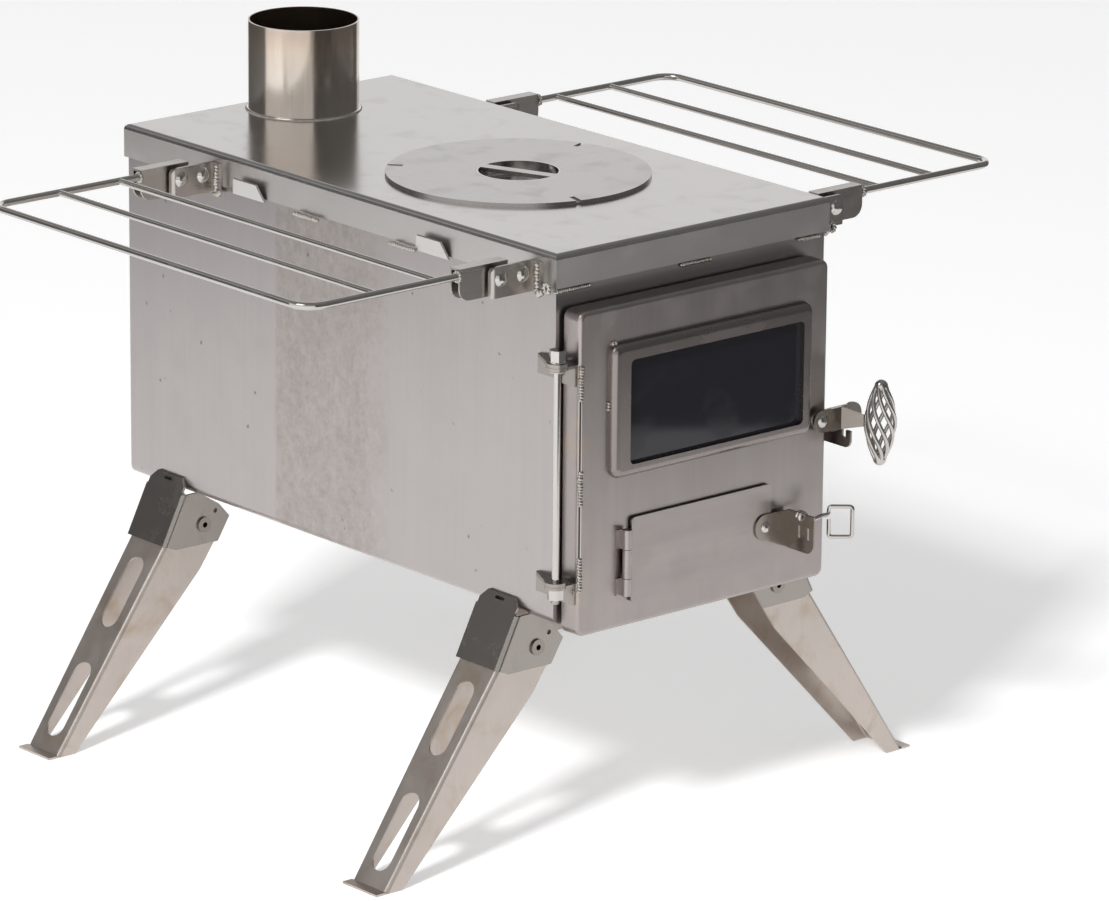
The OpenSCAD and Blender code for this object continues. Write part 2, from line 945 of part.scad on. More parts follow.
module flap_hinge_leaf() color(steel_door)
    for (span = [[0, knuckle_cuts_share[0]], [knuckle_cuts_share[1], 1]]) {
        low = barrel_z + barrel_h * span[0] + (span[0] > 0 ? knuckle_gap / 2 : 0);
        translate([-flap_pin_x, flap_pin_y, low])
            linear_extrude(barrel_h * (span[1] - span[0]) - knuckle_gap / 2)
                leaf_section();
    }

// A strip rolled round the pin, with its flat end on the door face.
module leaf_section() {
    leaf_t = door_face - flap_pin_y - barrel_r;
    strip_x = 2 * seat_gap - barrel_r;
    difference() {
        union() {
            circle(barrel_r);
            translate([strip_x, 0])
                square([leaf_t, barrel_r + leaf_t]);
            translate([-leaf_w, barrel_r])
                square([leaf_w + strip_x + leaf_t, leaf_t]);
        }
        circle(pin_r + pin_gap);
    }
}

module flap_hinge_pin() color(steel_bright)
    translate([-flap_pin_x, flap_pin_y, barrel_z])
        cylinder(h = barrel_h, r = pin_r);

module flap_outline() {
    left = flap_stem - flap_pin_x;
    w = flap_x - left;
    translate([left + w / 2, flap_z + flap_h / 2])
        round_rect(w, flap_h, flap_edge_r);
}

module air_flap() color(steel_door) {
    cuts = knuckle_cuts_share;
    stem_low = barrel_z + barrel_h * cuts[0] + knuckle_gap / 2;
    stem_high = barrel_z + barrel_h * cuts[1] - knuckle_gap / 2;
    difference() {
        union() {
            plate_y(flap_front, flap_t)
                union() {
                    flap_outline();
                    translate([-flap_pin_x, stem_low])
                        square([flap_stem + flap_edge_r, stem_high - stem_low]);
                }
            knuckles(cuts[0], cuts[1]);
        }
        flap_pin_bore();
        rod_y(flap_latch_x, flap_latch_z, flap_front - over, flap_t + 2 * over, rivet_r + pin_gap);
    }
}

module flap_rivet() color(steel_bright)
    rivet_y(flap_latch_x, flap_latch_z, flap_lever_y - flap_lever_t - seat_gap,
        flap_lever_t + flap_t + 2 * seat_gap, rivet_r, rivet_head_r - lever_t / 3, rivet_head_h, flap_t / 2);

module flap_lever_outline() {
    z = flap_latch_z;
    x = flap_latch_x;
    root = x + flap_lever_out;
    translate([x, z])
        circle(flap_lever_r);
    polygon([
        [x, z + flap_lever_r], [x, z - flap_lever_r],
        [root, z - flap_lever_low], [root, z + flap_lever_high]
    ]);
    translate([root - flap_lever_t, z - flap_tongue_low])
        square([flap_tongue_l + flap_lever_t, flap_tongue_h]);
}

module flap_lever() color(steel_door) {
    root = flap_latch_x + flap_lever_out;
    low = flap_latch_z - flap_lever_low;
    difference() {
        union() {
            plate_y(flap_lever_y - flap_lever_t, flap_lever_t)
                flap_lever_outline();
            translate([root - flap_lever_t, flap_lever_y, 0])
                rotate([90, 0, 90])
                    linear_extrude(flap_lever_t)
                        flap_ear_outline(low);
        }
        rod_y(flap_latch_x, flap_latch_z, flap_lever_y - flap_lever_t - over, flap_lever_t + 2 * over,
            rivet_r + pin_gap);
    }
}

// The lever's outward ear, drawn in y and z, with two slots that the wire is threaded through.
module flap_ear_outline(low) {
    h = flap_lever_low + flap_lever_high;
    difference() {
        union() {
            translate([-flap_ear_d, low + flap_ear_r])
                square([flap_ear_d, h - flap_ear_r]);
            translate([flap_ear_r - flap_ear_d, low])
                square([flap_ear_d - flap_ear_r, h]);
            translate([flap_ear_r - flap_ear_d, low + flap_ear_r])
                circle(flap_ear_r);
        }
        for (share = flap_ear_slots_share)
            translate([-share * flap_ear_d, low + h / 2])
                square([grip_wire / 2, h / 3], center = true);
    }
}

// Wire seated on the ear's far side, with a loop that is turned towards the hand.
module flap_grip() color(steel_bright) {
    x0 = flap_latch_x + flap_lever_out + grip_wire / 2;
    y0 = flap_lever_y - wire_out;
    z0 = flap_latch_z + wire_top;
    x1 = x0 + loop_reach;
    high = flap_latch_z + loop_top;
    low = high - loop_h;
    bent_wire([
        [x0, y0, flap_latch_z - 2 * grip_wire], [x0, y0, z0], [x1, y0, z0], [x1, y0, high]
    ], grip_wire / 2);
    translate([x1, y0, 0])
        rotate([0, 0, -loop_turn])
            bent_wire([
                [0, 0, high], [loop_w, 0, high], [loop_w, 0, low], [0, 0, low],
                [0, 0, z0 - grip_wire - free_gap]
            ], grip_wire / 2);
}

// Z-shaped catch on the door face: the flap lever's tongue drops behind its lip.
module flap_catch() color(steel_door) {
    x = flap_latch_x + flap_lever_out + catch_away;
    low = flap_latch_z - flap_tongue_low - free_gap - catch_h;
    lip_y = flap_lever_y - flap_lever_t - free_gap - catch_t;
    translate([x, lip_y, low])
        cube([catch_lip_w + catch_t, catch_t, catch_h]);
    translate([x + catch_lip_w, lip_y, low])
        cube([catch_t, door_face - lip_y, catch_h]);
    translate([x + catch_lip_w, door_face - catch_t, low])
        cube([catch_base_w, catch_t, catch_h]);
}

// Main latch.
module latch_rivet() color(steel_bright)
    rivet_y(latch_x, latch_z, lever_front - seat_gap, washer_h + lever_t + door_t + 2 * seat_gap, rivet_r,
        rivet_head_r, rivet_head_h, door_t);

module latch_washer() color(steel_bright)
    difference() {
        rod_y(latch_x, latch_z, door_face - washer_h + seat_gap, washer_h - seat_gap, washer_r);
        rod_y(latch_x, latch_z, door_face - washer_h - over, washer_h + 2 * over, rivet_r + pin_gap);
    }

module latch_lever() color(steel_door) {
    tip_x = latch_x + lever_tip;
    root = latch_x + arm_root;
    difference() {
        union() {
            plate_y(lever_front, lever_t) {
                translate([latch_x, latch_z])
                    circle(lever_r);
                translate([latch_x, latch_z - lever_r])
                    square([lever_tip, lever_h]);
                translate([tip_x, latch_z])
                    circle(lever_tip_r);
            }
            handle_arm(root);
        }
        rod_y(latch_x, latch_z, lever_front - over, lever_t + 2 * over, rivet_r + pin_gap);
    }
}

// Strip from the lever's face out to the handle, narrower at the handle.
module handle_arm(root) {
    slant = atan2(handle_x - root, lever_front - handle_y);
    run = norm([handle_x - root, lever_front - handle_y]) - cage_d / 2 - seat_gap;
    translate([root - arm_foot_l, lever_front - arm_t, latch_z - lever_r])
        cube([arm_foot_l, arm_t, lever_h]);
    translate([root, lever_front, latch_z])
        rotate([0, 0, slant])
            rotate([90, 0, -90])
                linear_extrude(arm_t)
                    polygon([
                        [0, -lever_r], [run, -lever_r / 2], [run, lever_r / 2], [0, lever_r]
                    ]);
}

function cage_profile(t) = sin(180 * t);

function cage_point(t, a) =
    let (
        r = cage_end_r + (cage_d / 2 - cage_rod / 2 - cage_end_r) * cage_profile(t),
        turned = a - cage_turn * (t - 0.5)
    )
    [r * cos(turned), r * sin(turned), cage_h * (t - 0.5) * cage_rod_share];

function cage_line(a) = [for (i = [0 : cage_steps]) cage_point(i / cage_steps, a)];

// A tube of flat sides along a list of points.
module swept_tube(points, r, sides) {
    last = len(points) - 1;
    rings = [for (i = [0 : last])
        let (
            ahead = points[min(i + 1, last)] - points[max(i - 1, 0)],
            along = ahead / norm(ahead),
            out = cross(along, [0, 0, 1]),
            u = out / norm(out),
            v = cross(along, u)
        )
        for (s = [0 : sides - 1])
            points[i] + r * (cos(full_turn * s / sides) * u + sin(full_turn * s / sides) * v)];
    walls = [for (i = [0 : last - 1], s = [0 : sides - 1])
        let (n = (s + 1) % sides, a = i * sides, b = a + sides)
        each [[a + s, b + s, b + n], [a + s, b + n, a + n]]];
    ends = [[for (s = [0 : sides - 1]) s], [for (s = [sides - 1 : -1 : 0]) last * sides + s]];
    polyhedron(rings, concat(walls, ends));
}

module cage_cap() {
    translate([0, 0, cage_h / 2 - cage_cap_r])
        sphere(cage_cap_r);
    translate([0, 0, cage_h / 2 - cage_cap_r - cage_cap_h / 2])
        cylinder(h = cage_cap_h / 2, r = cage_cap_r);
}

module latch_cage() color(steel_bright)
    translate([handle_x, handle_y, latch_z]) {
        for (k = [0 : cage_rods - 1])
            swept_tube(cage_line(cage_start + full_turn * k / cage_rods), cage_rod / 2, cage_sides);
        cage_cap();
        mirror([0, 0, 1])
            cage_cap();
    }

// Keeper on the right wall: the lever's tip drops behind the lip at its front.
module latch_keeper() color(steel_grey) {
    low = latch_z - keeper_low;
    lip_top = latch_z - lever_tip_r - keeper_lip_gap;
    pocket_front = lever_front - keeper_slack;
    pocket_back = lever_front + lever_t + keeper_slack;
    front = pocket_front - keeper_lip;
    translate([body_half, 0, 0])
        rotate([90, 0, 90])
            linear_extrude(keeper_t)
                difference() {
                    union() {
                        translate([front + keeper_corner_r, low])
                            square([keeper_back - front - keeper_corner_r, lip_top - low]);
                        translate([front, low + keeper_corner_r])
                            square([keeper_back - front, lip_top - low - keeper_corner_r]);
                        translate([front + keeper_corner_r, low + keeper_corner_r])
                            circle(keeper_corner_r);
                        translate([pocket_back, low])
                            square([keeper_back - pocket_back, keeper_low - keeper_high]);
                    }
                    translate([pocket_front, lip_top - keeper_pocket])
                        square([pocket_back - pocket_front, keeper_pocket + over]);
                }
}

// Legs. A leg is drawn hanging straight down from its pivot at the origin, outer face towards -x.
function leg_y(end) = end == 0 ? leg_front : cover_l - leg_rear;

module leg_side_outline() {
    foot = leg_flange_foot - pivot_in;
    circle(leg_head_r);
    polygon([
        [-pivot_in, -leg_web_start], [-pivot_in, -leg_l - foot_lip], [foot, -leg_l - foot_lip],
        [leg_head_r, -bracket_stop_u], [leg_head_r, 0], [0, leg_head_r], [-leg_head_r, 0]
    ]);
}

module leg_width_outline(inset) {
    top = leg_top_w / 2 - inset;
    foot = leg_foot_w / 2 - inset;
    drop = (leg_top_w - leg_foot_w) / 2 / leg_l * 2 * leg_head_r;
    polygon([
        [-top - drop, 2 * leg_head_r], [-foot + drop, -leg_l - 2 * leg_head_r],
        [foot - drop, -leg_l - 2 * leg_head_r], [top + drop, 2 * leg_head_r]
    ]);
}

module leg_body() {
    intersection() {
        translate([0, leg_top_w / 2, 0])
            rotate([90, 0, 0])
                linear_extrude(leg_top_w)
                    leg_side_outline();
        leg_wedge(0, pivot_in);
    }
}

module leg_wedge(inset, out) {
    difference() {
        translate([-out, 0, 0])
            rotate([90, 0, 90])
                linear_extrude(out + leg_flange_top)
                    leg_width_outline(inset);
        for (s = [0, 1])
            mirror([0, s, 0])
                leg_edge(leg_fold_r - inset, leg_top_w / 2 - inset, out);
    }
}

// What a radius r takes off a corner at the origin, with the sheet towards +x and down.
module corner_cut(r) {
    difference() {
        translate([-over, -r])
            square([r + over, r + over]);
        translate([r, -r])
            circle(r);
    }
}

// The same off an edge that runs up z, with the sheet towards +x and -y.
module edge_cut(r, l) {
    linear_extrude(l)
        corner_cut(r);
}

// The same along a leg's taper, for an edge at half width w.
module leg_edge(r, w, out) {
    taper = atan2((leg_top_w - leg_foot_w) / 2, leg_l);
    translate([-out, w, 0])
        rotate([-taper, 0, 0])
            translate([0, 0, -leg_l - 2 * leg_head_r])
                edge_cut(r, leg_l + 4 * leg_head_r);
}

module leg_plain() {
    difference() {
        leg_body();
        leg_wedge(leg_t, pivot_in - leg_t);
        for (share = leg_slots_share)
            translate([-pivot_in - over, 0, -leg_l * (share[0] + share[1]) / 2])
                rotate([90, 0, 90])
                    linear_extrude(leg_t + 2 * over)
                        round_rect(2 * leg_slot_r, leg_l * (share[1] - share[0]), leg_slot_r - seat_gap);
        rod_y(0, 0, -leg_top_w, 2 * leg_top_w, pivot_r + pin_gap);
    }
}

module leg_place(end) {
    translate([-pivot_x, leg_y(end), pivot_z])
        rotate([0, leg_splay, 0])
            children();
}

module leg(side, end) color(steel_leg)
    on_side(side) {
        difference() {
            leg_place(end)
                leg_plain();
            translate([-foot_reach - leg_l, leg_y(end) - leg_l / 2, -leg_l])
                cube([leg_l * 2, leg_l, leg_l]);
        }
        translate([-foot_reach - foot_lip, leg_y(end) - leg_foot_w / 2, 0])
            cube([foot_lip + leg_t / 2, leg_foot_w, leg_t]);
    }

module leg_rivets() color(steel_bright) {
    span = bracket_w + 2 * seat_gap;
    for (side = [0, 1], end = [0, 1])
        on_side(side)
            translate([-pivot_x, leg_y(end), pivot_z])
                rotate([90, 0, 0])
                    difference() {
                        union() {
                            cylinder(h = span, r = pivot_r, center = true);
                            for (s = [0, 1])
                                mirror([0, 0, s])
                                    translate([0, 0, span / 2])
                                        cylinder(h = pivot_head_h, r = pivot_head_r);
                        }
                        cylinder(h = span * 2, r = pivot_bore_r, center = true);
                    }
}

// Bracket: folded sheet welded to the wall, a channel that the leg turns in.
function bracket_top_x() = -body_half - bracket_t;

function bracket_top_z() = ground_h + bracket_rise;

function bracket_slope() = atan2(bracket_top_x() - bracket_foot_x, bracket_top_z() - bracket_foot_z);

module bracket_side_outline() {
    polygon([
        [bracket_top_x(), bracket_top_z()],
        [bracket_foot_x, bracket_foot_z],
        [bracket_foot_x + bracket_foot_in, bracket_foot_z - bracket_foot_low],
        [-pivot_x + bracket_low_x, pivot_z - bracket_low_z],
        [-pivot_x + bracket_in_x, pivot_z + bracket_in_z],
        [-pivot_x + bracket_up_x, pivot_z + bracket_up_z],
        [floor_fold_r - body_half, ground_h],
        [floor_fold_r - body_half, bracket_top_z()]
    ]);
}

// Seen from the side: two flanges that end at the floor, and a narrower tab on the wall above.
module bracket_web_outline() {
    translate([-bracket_w / 2, 0])
        square([bracket_w, ground_h - seat_gap]);
    polygon([
        [-bracket_tab_w / 2, 0], [bracket_tab_w / 2, 0],
        [bracket_tab_w / 2, bracket_top_z() - bracket_tab_cut],
        [bracket_tab_w / 2 - bracket_tab_cut, bracket_top_z()],
        [bracket_tab_cut - bracket_tab_w / 2, bracket_top_z()],
        [-bracket_tab_w / 2, bracket_top_z() - bracket_tab_cut]
    ]);
}

module bracket(side, end) color(steel_leg)
    on_side(side)
        translate([0, leg_y(end), 0])
            difference() {
                intersection() {
                    plate_y(-bracket_w / 2, bracket_w)
                        bracket_side_outline();
                    translate([-2 * foot_reach, 0, 0])
                        rotate([90, 0, 90])
                            linear_extrude(2 * foot_reach)
                                bracket_web_outline();
                }
                bracket_hollow();
                bracket_folds();
                plate_y(-bracket_w, 2 * bracket_w)
                    shell_section(-seat_gap, wall_top);
                translate([bracket_foot_x, 0, bracket_top_z() - bracket_slot_drop])
                    rotate([90, 0, 90])
                        linear_extrude(-bracket_foot_x)
                            round_rect(bracket_slot_w, bracket_slot_h, bracket_slot_h / 2 - seat_gap);
                rod_y(-pivot_x, pivot_z, -bracket_w, 2 * bracket_w, pivot_r + pin_gap);
                rod_y(bracket_hole_x - pivot_x, pivot_z + bracket_hole_z, -bracket_w, 2 * bracket_w,
                    bracket_hole_r);
            }

module bracket_folds() {
    for (s = [0, 1])
        mirror([0, s, 0])
            translate([bracket_foot_x, bracket_w / 2, bracket_foot_z])
                rotate([0, bracket_slope(), 0])
                    translate([0, 0, -over])
                        edge_cut(bracket_fold_r, bracket_top_z());
}

module bracket_hollow() {
    inner_w = bracket_w - 2 * bracket_t;
    slope = bracket_slope();
    step = bracket_t / cos(slope);
    plate_y(-inner_w / 2, inner_w)
        polygon([
            [bracket_top_x() + step, bracket_top_z()],
            [bracket_foot_x + step - over * tan(slope), bracket_foot_z - over],
            [bracket_foot_x + step, bracket_foot_z - pivot_in],
            [pivot_x, bracket_foot_z - pivot_in],
            [pivot_x, bracket_top_z()]
        ]);
}

// Racks. An ear on the cover's flange, a channel tab riveted to it, and the rod frame.
function rack_y(end) = rack_front + end * rack_l;

module rack_ear(side, end) color(steel_dark) {
    front = rack_y(end) - tab_t - rack_ear_lip - rack_ear_t;
    low = rack_pivot_z - rack_ear_low;
    on_side(side)
        difference() {
            translate([0, front, low])
                linear_extrude(rack_ear_h)
                    rack_ear_section();
            plate_y(front - over, rack_ear_lip + 2 * over)
                translate([-cover_half - ear_w, rack_ear_h + low])
                    corner_cut(rack_ear_round);
            for (x = [-rack_pivot_x, stop_in - rack_pivot_x])
                rod_y(x, rack_pivot_z, front - over, rack_ear_lip + over, rack_rivet_r + pin_gap);
        }
}

// The ear from above: a plate, its rounded outer fold, and a foot on the cover's flange.
module rack_ear_section() {
    left = -cover_half - ear_w;
    difference() {
        union() {
            translate([left + rack_ear_r, 0])
                square([ear_w - rack_ear_r, rack_ear_t]);
            translate([left, rack_ear_r])
                square([rack_ear_t, rack_ear_lip - rack_ear_r]);
            translate([left + rack_ear_r, rack_ear_r])
                mirror([1, 0])
                    mirror([0, 1])
                        quarter(rack_ear_r);
        }
        translate([left + rack_ear_r, rack_ear_r])
            circle(rack_ear_r - rack_ear_t);
    }
    translate([-cover_half - rack_ear_t, -rack_ear_fold])
        square([rack_ear_t, rack_ear_fold + rack_ear_t]);
}

module rack_rivets(side) color(steel_bright)
    on_side(side)
        for (end = [0, 1]) {
            front = rack_y(end) - tab_t - rack_ear_lip - rack_ear_t;
            inner = tab_t + rack_ear_lip + tab_depth - tab_t + rack_ear_t + seat_gap;
            rivet_y(-rack_pivot_x, rack_pivot_z, front, inner, rack_rivet_r, rack_head_r, rack_head_h, tab_t);
            rivet_y(stop_in - rack_pivot_x, rack_pivot_z, front, rack_ear_t, rack_rivet_r, rack_head_r,
                rack_head_h, tab_t);
        }

module rack_tabs(side) color(steel_dark)
    on_side(side)
        for (end = [0, 1]) {
            front = rack_y(end) - tab_t;
            translate([0, front, 0])
                difference() {
                    translate([-rack_pivot_x - tab_out, 0, rack_pivot_z - tab_low])
                        cube([tab_out + tab_in, tab_depth, tab_low + tab_rise]);
                    translate([-rack_pivot_x - tab_out - over, tab_t, rack_pivot_z - tab_low - tab_t])
                        cube([tab_out + tab_in + 2 * over, tab_depth - 2 * tab_t, tab_low + tab_rise]);
                    plate_y(-over, tab_depth + 2 * over)
                        translate([-rack_pivot_x - tab_out, rack_pivot_z - tab_low])
                            mirror([0, 1])
                                corner_cut(tab_round);
                    rod_y(-rack_pivot_x, rack_pivot_z, -over, tab_depth + 2 * over, rack_rivet_r + pin_gap);
                }
        }

module rack_frame(side) color(steel_bright) {
    inner = -rack_pivot_x - tab_out;
    outer = -rack_reach;
    r = rod_d / 2;
    turn = rack_corner_r;
    on_side(side) {
        for (end = [0, 1])
            rod_between([inner, rack_y(end), rack_z], [outer + turn, rack_y(end), rack_z], r);
        rod_between([outer, rack_y(0) + turn, rack_z], [outer, rack_y(1) - turn, rack_z], r);
        for (end = [0, 1])
            translate([outer + turn, end == 0 ? rack_y(0) + turn : rack_y(1) - turn, rack_z])
                rotate([0, 0, end == 0 ? 180 : 90])
                    rotate_extrude(angle = 90)
                        translate([turn, 0])
                            circle(r);
        for (share = rack_rails_share) {
            x = -rack_pivot_x - share * (rack_reach - rack_pivot_x);
            rod_between([x, rack_y(0), rack_z], [x, rack_y(1), rack_z], rail_d / 2);
        }
    }
}

in_frame() firebox_shell();
in_frame() front_frame();
in_frame() back_panel();
in_frame() cover();
in_frame() flue_collar();
in_frame() baffle_plate();
in_frame() fire_grate();
in_frame() latch_keeper();
in_frame() body_hinge_ears();
in_frame() hinge_rod();
in_frame() hinge_nut();
in_frame() leg_rivets();
in_frame() rack_rivets(0);  // rack_rivets_left
in_frame() rack_rivets(1);  // rack_rivets_right
in_frame() bracket(0, 0);  // bracket_front_left
in_frame() bracket(0, 1);  // bracket_rear_left
in_frame() bracket(1, 0);  // bracket_front_right
in_frame() bracket(1, 1);  // bracket_rear_right
in_frame() rack_ear(0, 0);  // rack_ear_front_left
in_frame() rack_ear(0, 1);  // rack_ear_rear_left
in_frame() rack_ear(1, 0);  // rack_ear_front_right
in_frame() rack_ear(1, 1);  // rack_ear_rear_right
in_frame() leg(0, 0);  // leg_front_left
in_frame() leg(0, 1);  // leg_rear_left
in_frame() leg(1, 0);  // leg_front_right
in_frame() leg(1, 1);  // leg_rear_right
in_frame() rack_frame(0);  // rack_frame_left
in_frame() rack_tabs(0);  // rack_tabs_left
in_frame() rack_frame(1);  // rack_frame_right
in_frame() rack_tabs(1);  // rack_tabs_right
in_frame() lid_plate();
in_frame() lid_dish();
in_frame() lid_grip();
in_frame() door_panel();
in_frame() door_liner();
in_frame() door_gasket();
in_frame() window_frame();
in_frame() window_glass();
in_frame() glass_clips();
in_frame() door_hinge_ears();
in_frame() flap_hinge_leaf();
in_frame() flap_hinge_pin();
in_frame() flap_catch();
in_frame() latch_rivet();
in_frame() latch_washer();
in_frame() latch_lever();
in_frame() latch_cage();
in_frame() air_flap();
in_frame() flap_rivet();
in_frame() flap_lever();
in_frame() flap_grip();
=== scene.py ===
"""Looks of the folding tent stove: finishes of its sheet steel, welds, rods, glass and studio."""

import math
import random

import bpy
from mathutils import Matrix, Vector


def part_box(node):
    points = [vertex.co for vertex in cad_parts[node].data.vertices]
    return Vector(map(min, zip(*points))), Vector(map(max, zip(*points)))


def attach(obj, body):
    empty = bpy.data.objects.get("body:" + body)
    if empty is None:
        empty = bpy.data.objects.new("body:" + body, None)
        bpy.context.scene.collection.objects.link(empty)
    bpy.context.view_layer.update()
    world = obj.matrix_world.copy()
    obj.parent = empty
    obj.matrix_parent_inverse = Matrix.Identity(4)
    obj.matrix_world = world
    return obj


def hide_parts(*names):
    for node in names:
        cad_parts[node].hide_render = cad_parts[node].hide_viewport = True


bl_info = {
    "name": "Tent stove looks",
    "version": (1, 0, 0),
    "blender": (4, 5, 0),
    "location": "View3D > Sidebar > Tent stove",
    "description": "Dresses the tent stove's frame with finishes, welds, rods and a studio",
    "category": "Add Mesh",
}

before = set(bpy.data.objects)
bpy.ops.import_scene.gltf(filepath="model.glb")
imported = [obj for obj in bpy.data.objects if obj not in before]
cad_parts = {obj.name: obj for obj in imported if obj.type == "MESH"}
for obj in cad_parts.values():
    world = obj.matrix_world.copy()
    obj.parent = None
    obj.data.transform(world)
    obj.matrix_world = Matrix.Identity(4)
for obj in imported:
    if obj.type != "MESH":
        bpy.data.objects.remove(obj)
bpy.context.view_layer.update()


def node_box(name):
    """Lowest and highest corner of a CAD node."""
    low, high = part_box(name)
    return Vector(low), Vector(high)


MM = 0.001
SIDES = ((-1, "left"), (1, "right"))

COVER_LOW, COVER_HIGH = node_box("cover")
COLLAR_LOW, COLLAR_HIGH = node_box("flue_collar")
WINDOW_LOW, WINDOW_HIGH = node_box("window_frame")
ROD_LOW, ROD_HIGH = node_box("hinge_rod")
NUT_LOW, NUT_HIGH = node_box("hinge_nut")
CAGE_LOW, CAGE_HIGH = node_box("latch_cage")
GRIP_LOW, GRIP_HIGH = node_box("flap_grip")
SHELL_LOW = node_box("firebox_shell")[0]
DOOR_LOW = node_box("door_panel")[0]
LEVER_HIGH = node_box("flap_lever")[1]
HEAD_FOOT = node_box("body_hinge_ears")[1].z

# Grain runs along the axis whose coordinates are squeezed
ALONG_X = (0.03, 1.0, 1.0)
ALONG_Y = (1.0, 0.03, 1.0)
ALONG_Z = (1.0, 1.0, 0.03)
UP_COLLAR = (1.0, 1.0, 0.05)
GRAIN = "Brushed grain"
HANDLED = "Handled sheet"
GRAIN_DULLS = 0.4
SMUDGE_DULLS = 0.06
SOFT_BUMP = 0.02
GRAIN_DEPTH = 0.2 * MM
DENT_DEPTH = 0.4 * MM
WEAVE_DEPTH = 0.3 * MM

# Roughness of the finishes
WALL_ROUGH = DOOR_ROUGH = 0.29
LEG_ROUGH = 0.40
COLLAR_ROUGH = 0.16
WELD_ROUGH = 0.28
SLIT_SHADE_ROUGH = 0.8
TAPE_ROUGH = 0.9
FLOOR_ROUGH = 0.7
CLOTH_ROUGH = 1.0

# The polished edge of the cover's top, against its duller flanges, which are also painted paler
RIM_TOP = 3 * MM
FLANGE_PAINTED_LIGHTER = 0.15
RIM_ROUGHER = 0.14

# The mottled band on the firebox walls
BAND_EDGES = (SHELL_LOW.y + 139 * MM, SHELL_LOW.y + 239 * MM)
BAND_SOFT = 2 * MM
BAND_FADE = 12 * MM
BAND_RAGGED = 60 * MM
BAND_LEAST = 0.35
BAND_TINT = (1.0, 0.955, 0.905)
MOTTLE = 0.62
SPECK_BOUNDS = (0.785, 0.83)
SPECK_COLOUR = (0.12, 0.11, 0.10)

# Stains: colours, the seam's reach, and the noise values at which a stain starts and is full
SEAM_STAIN = (0.50, 0.40, 0.27)
SEAM_STAIN_WIDTH = 9 * MM
SEAM_STAIN_SOFT = 8 * MM
SEAM_STAIN_BOUNDS = (0.50, 0.68)
LEG_STAIN = (0.46, 0.36, 0.27)
LEG_STAIN_BOUNDS = (0.50, 0.70)
WELD_STAIN = (0.42, 0.33, 0.24)
# Painted shade: colour of the dark wires and balls put in the slits and pits
SLIT_SHADE_COLOUR = (0.02, 0.018, 0.016)
# Heat tints up the flue collar, by height
HEAT_TINTS = (
    (0.0, (1.0, 1.0, 1.0)), (0.50, (1.0, 0.99, 0.97)), (0.74, (1.0, 0.93, 0.84)),
    (0.88, (0.84, 0.72, 0.62)), (0.96, (0.70, 0.62, 0.57)), (1.0, (0.80, 0.75, 0.71)))

# Weld beads: their ripples, their radii as shares of the bead radius, and where they run
RIPPLE_STEP_SHARE = 1.0
RIPPLE_SHAPE = (0.72, 1.0, 0.8)
RIPPLE_SIZES = (0.82, 1.12)
RIPPLE_SHIFTS = (-0.14, 0.14)
FRONT_TACK_SHARE = 0.9
EAR_SHARE = 1.25
PIT_SHARE = 0.95
COLLAR_SHARE = 0.4
COLLAR_SEAM_SHARE = 0.6
DOOR_SEAM_SHARE = 1.05
ROD_SHARE = 0.85
SIDE_TACKS = ((115 * MM, 136 * MM), (199 * MM, 219 * MM), (300 * MM, 318 * MM))
FRONT_TACKS = ((-99 * MM, -75 * MM), (-9 * MM, 12 * MM), (77 * MM, 92 * MM))
TACK_DROP = 0.3 * MM
TACK_IN = 2.2 * MM
FRONT_TACK_IN = 0.8 * MM
EAR_BEAD_AHEAD = 1.4 * MM
EAR_BEAD_ENDS = (1.0 * MM, 0.6 * MM)
# Blobs below the ear's bead: forward, up and size as a share of the bead's radius
EAR_BLOBS = ((2.6 * MM, 1.4 * MM, 1.5), (4.0 * MM, 2.1 * MM, 1.2), (1.2 * MM, 0.7 * MM, 1.1))
BLOB_RUN = 1 * MM
COLLAR_BEADS = 72
COLLAR_BEAD_IN = 0.1 * MM
COLLAR_SEAM_IN = 0.4 * MM
COLLAR_SEAM_ENDS = 1 * MM
SEAM_BEADS = ((268.6 * MM, 286.5 * MM), (210.0 * MM, 228.0 * MM), (161.7 * MM, 179.5 * MM))
SEAM_BEAD_IN = (1.4 * MM, 0.5 * MM)
FRAME_TACK_AHEAD = 0.4 * MM
FRAME_TACK_OUT = 0.2 * MM
FRAME_TACK_DROP = 34 * MM
FRAME_TACK_HALF = 1.6 * MM
FRAME_TOP_TACK = (2.2 * MM, 4.2 * MM)
FRAME_TOP_TACK_UP = 0.4 * MM
ROD_BEADS = 10
ROD_BEAD_OUT = 0.6 * MM
ROD_BEAD_REACH = 0.3 * MM

# Pits in the cover's front corners, each holding a dark ball of painted shade, and the weld round
# them
PIT_IN = 2.6 * MM
PIT_UP = 2.4 * MM
PIT_HALVES = (0.35 * MM, 1.5 * MM, 1.8 * MM)
PIT_SINK = 0.1 * MM
PIT_BEADS = 8
PIT_BEAD_SINK = 0.2 * MM
PIT_BEAD_REACH = (2.0 * MM, 2.3 * MM)

# Door seam between its beads: inwards, backwards and radius of the dark wires of painted shade in
# its slits, and of its lips
SEAM_SLITS = ((229.0 * MM, 267.6 * MM), (180.5 * MM, 209.0 * MM))
SLIT_WIRE = (1.0 * MM, 0.65 * MM, 0.42 * MM)
LIP_WIRE = (1.75 * MM, 0.25 * MM, 0.38 * MM)

# Wire grip of the flap's latch
CURL_R = 1.9 * MM
CURL_OFF_PLATE = 0.5 * MM
CURL_BELOW_TOP = 2.0 * MM
CURL_START = math.radians(190.0)
CURL_SWEEP = math.radians(560.0)
CURL_DEPTH = 3.6 * MM
CURL_STEPS = 30
STEM_DROP = 4.3 * MM
# The stem's first bends: out from the plate and below the stem
STEM_BENDS = ((4.6 * MM, 0.9 * MM), (9.5 * MM, 0.7 * MM))
STEM_END = 5.0 * MM
LOOP_GAP = 0.5 * MM
WIRE_BEND = 1.9 * MM

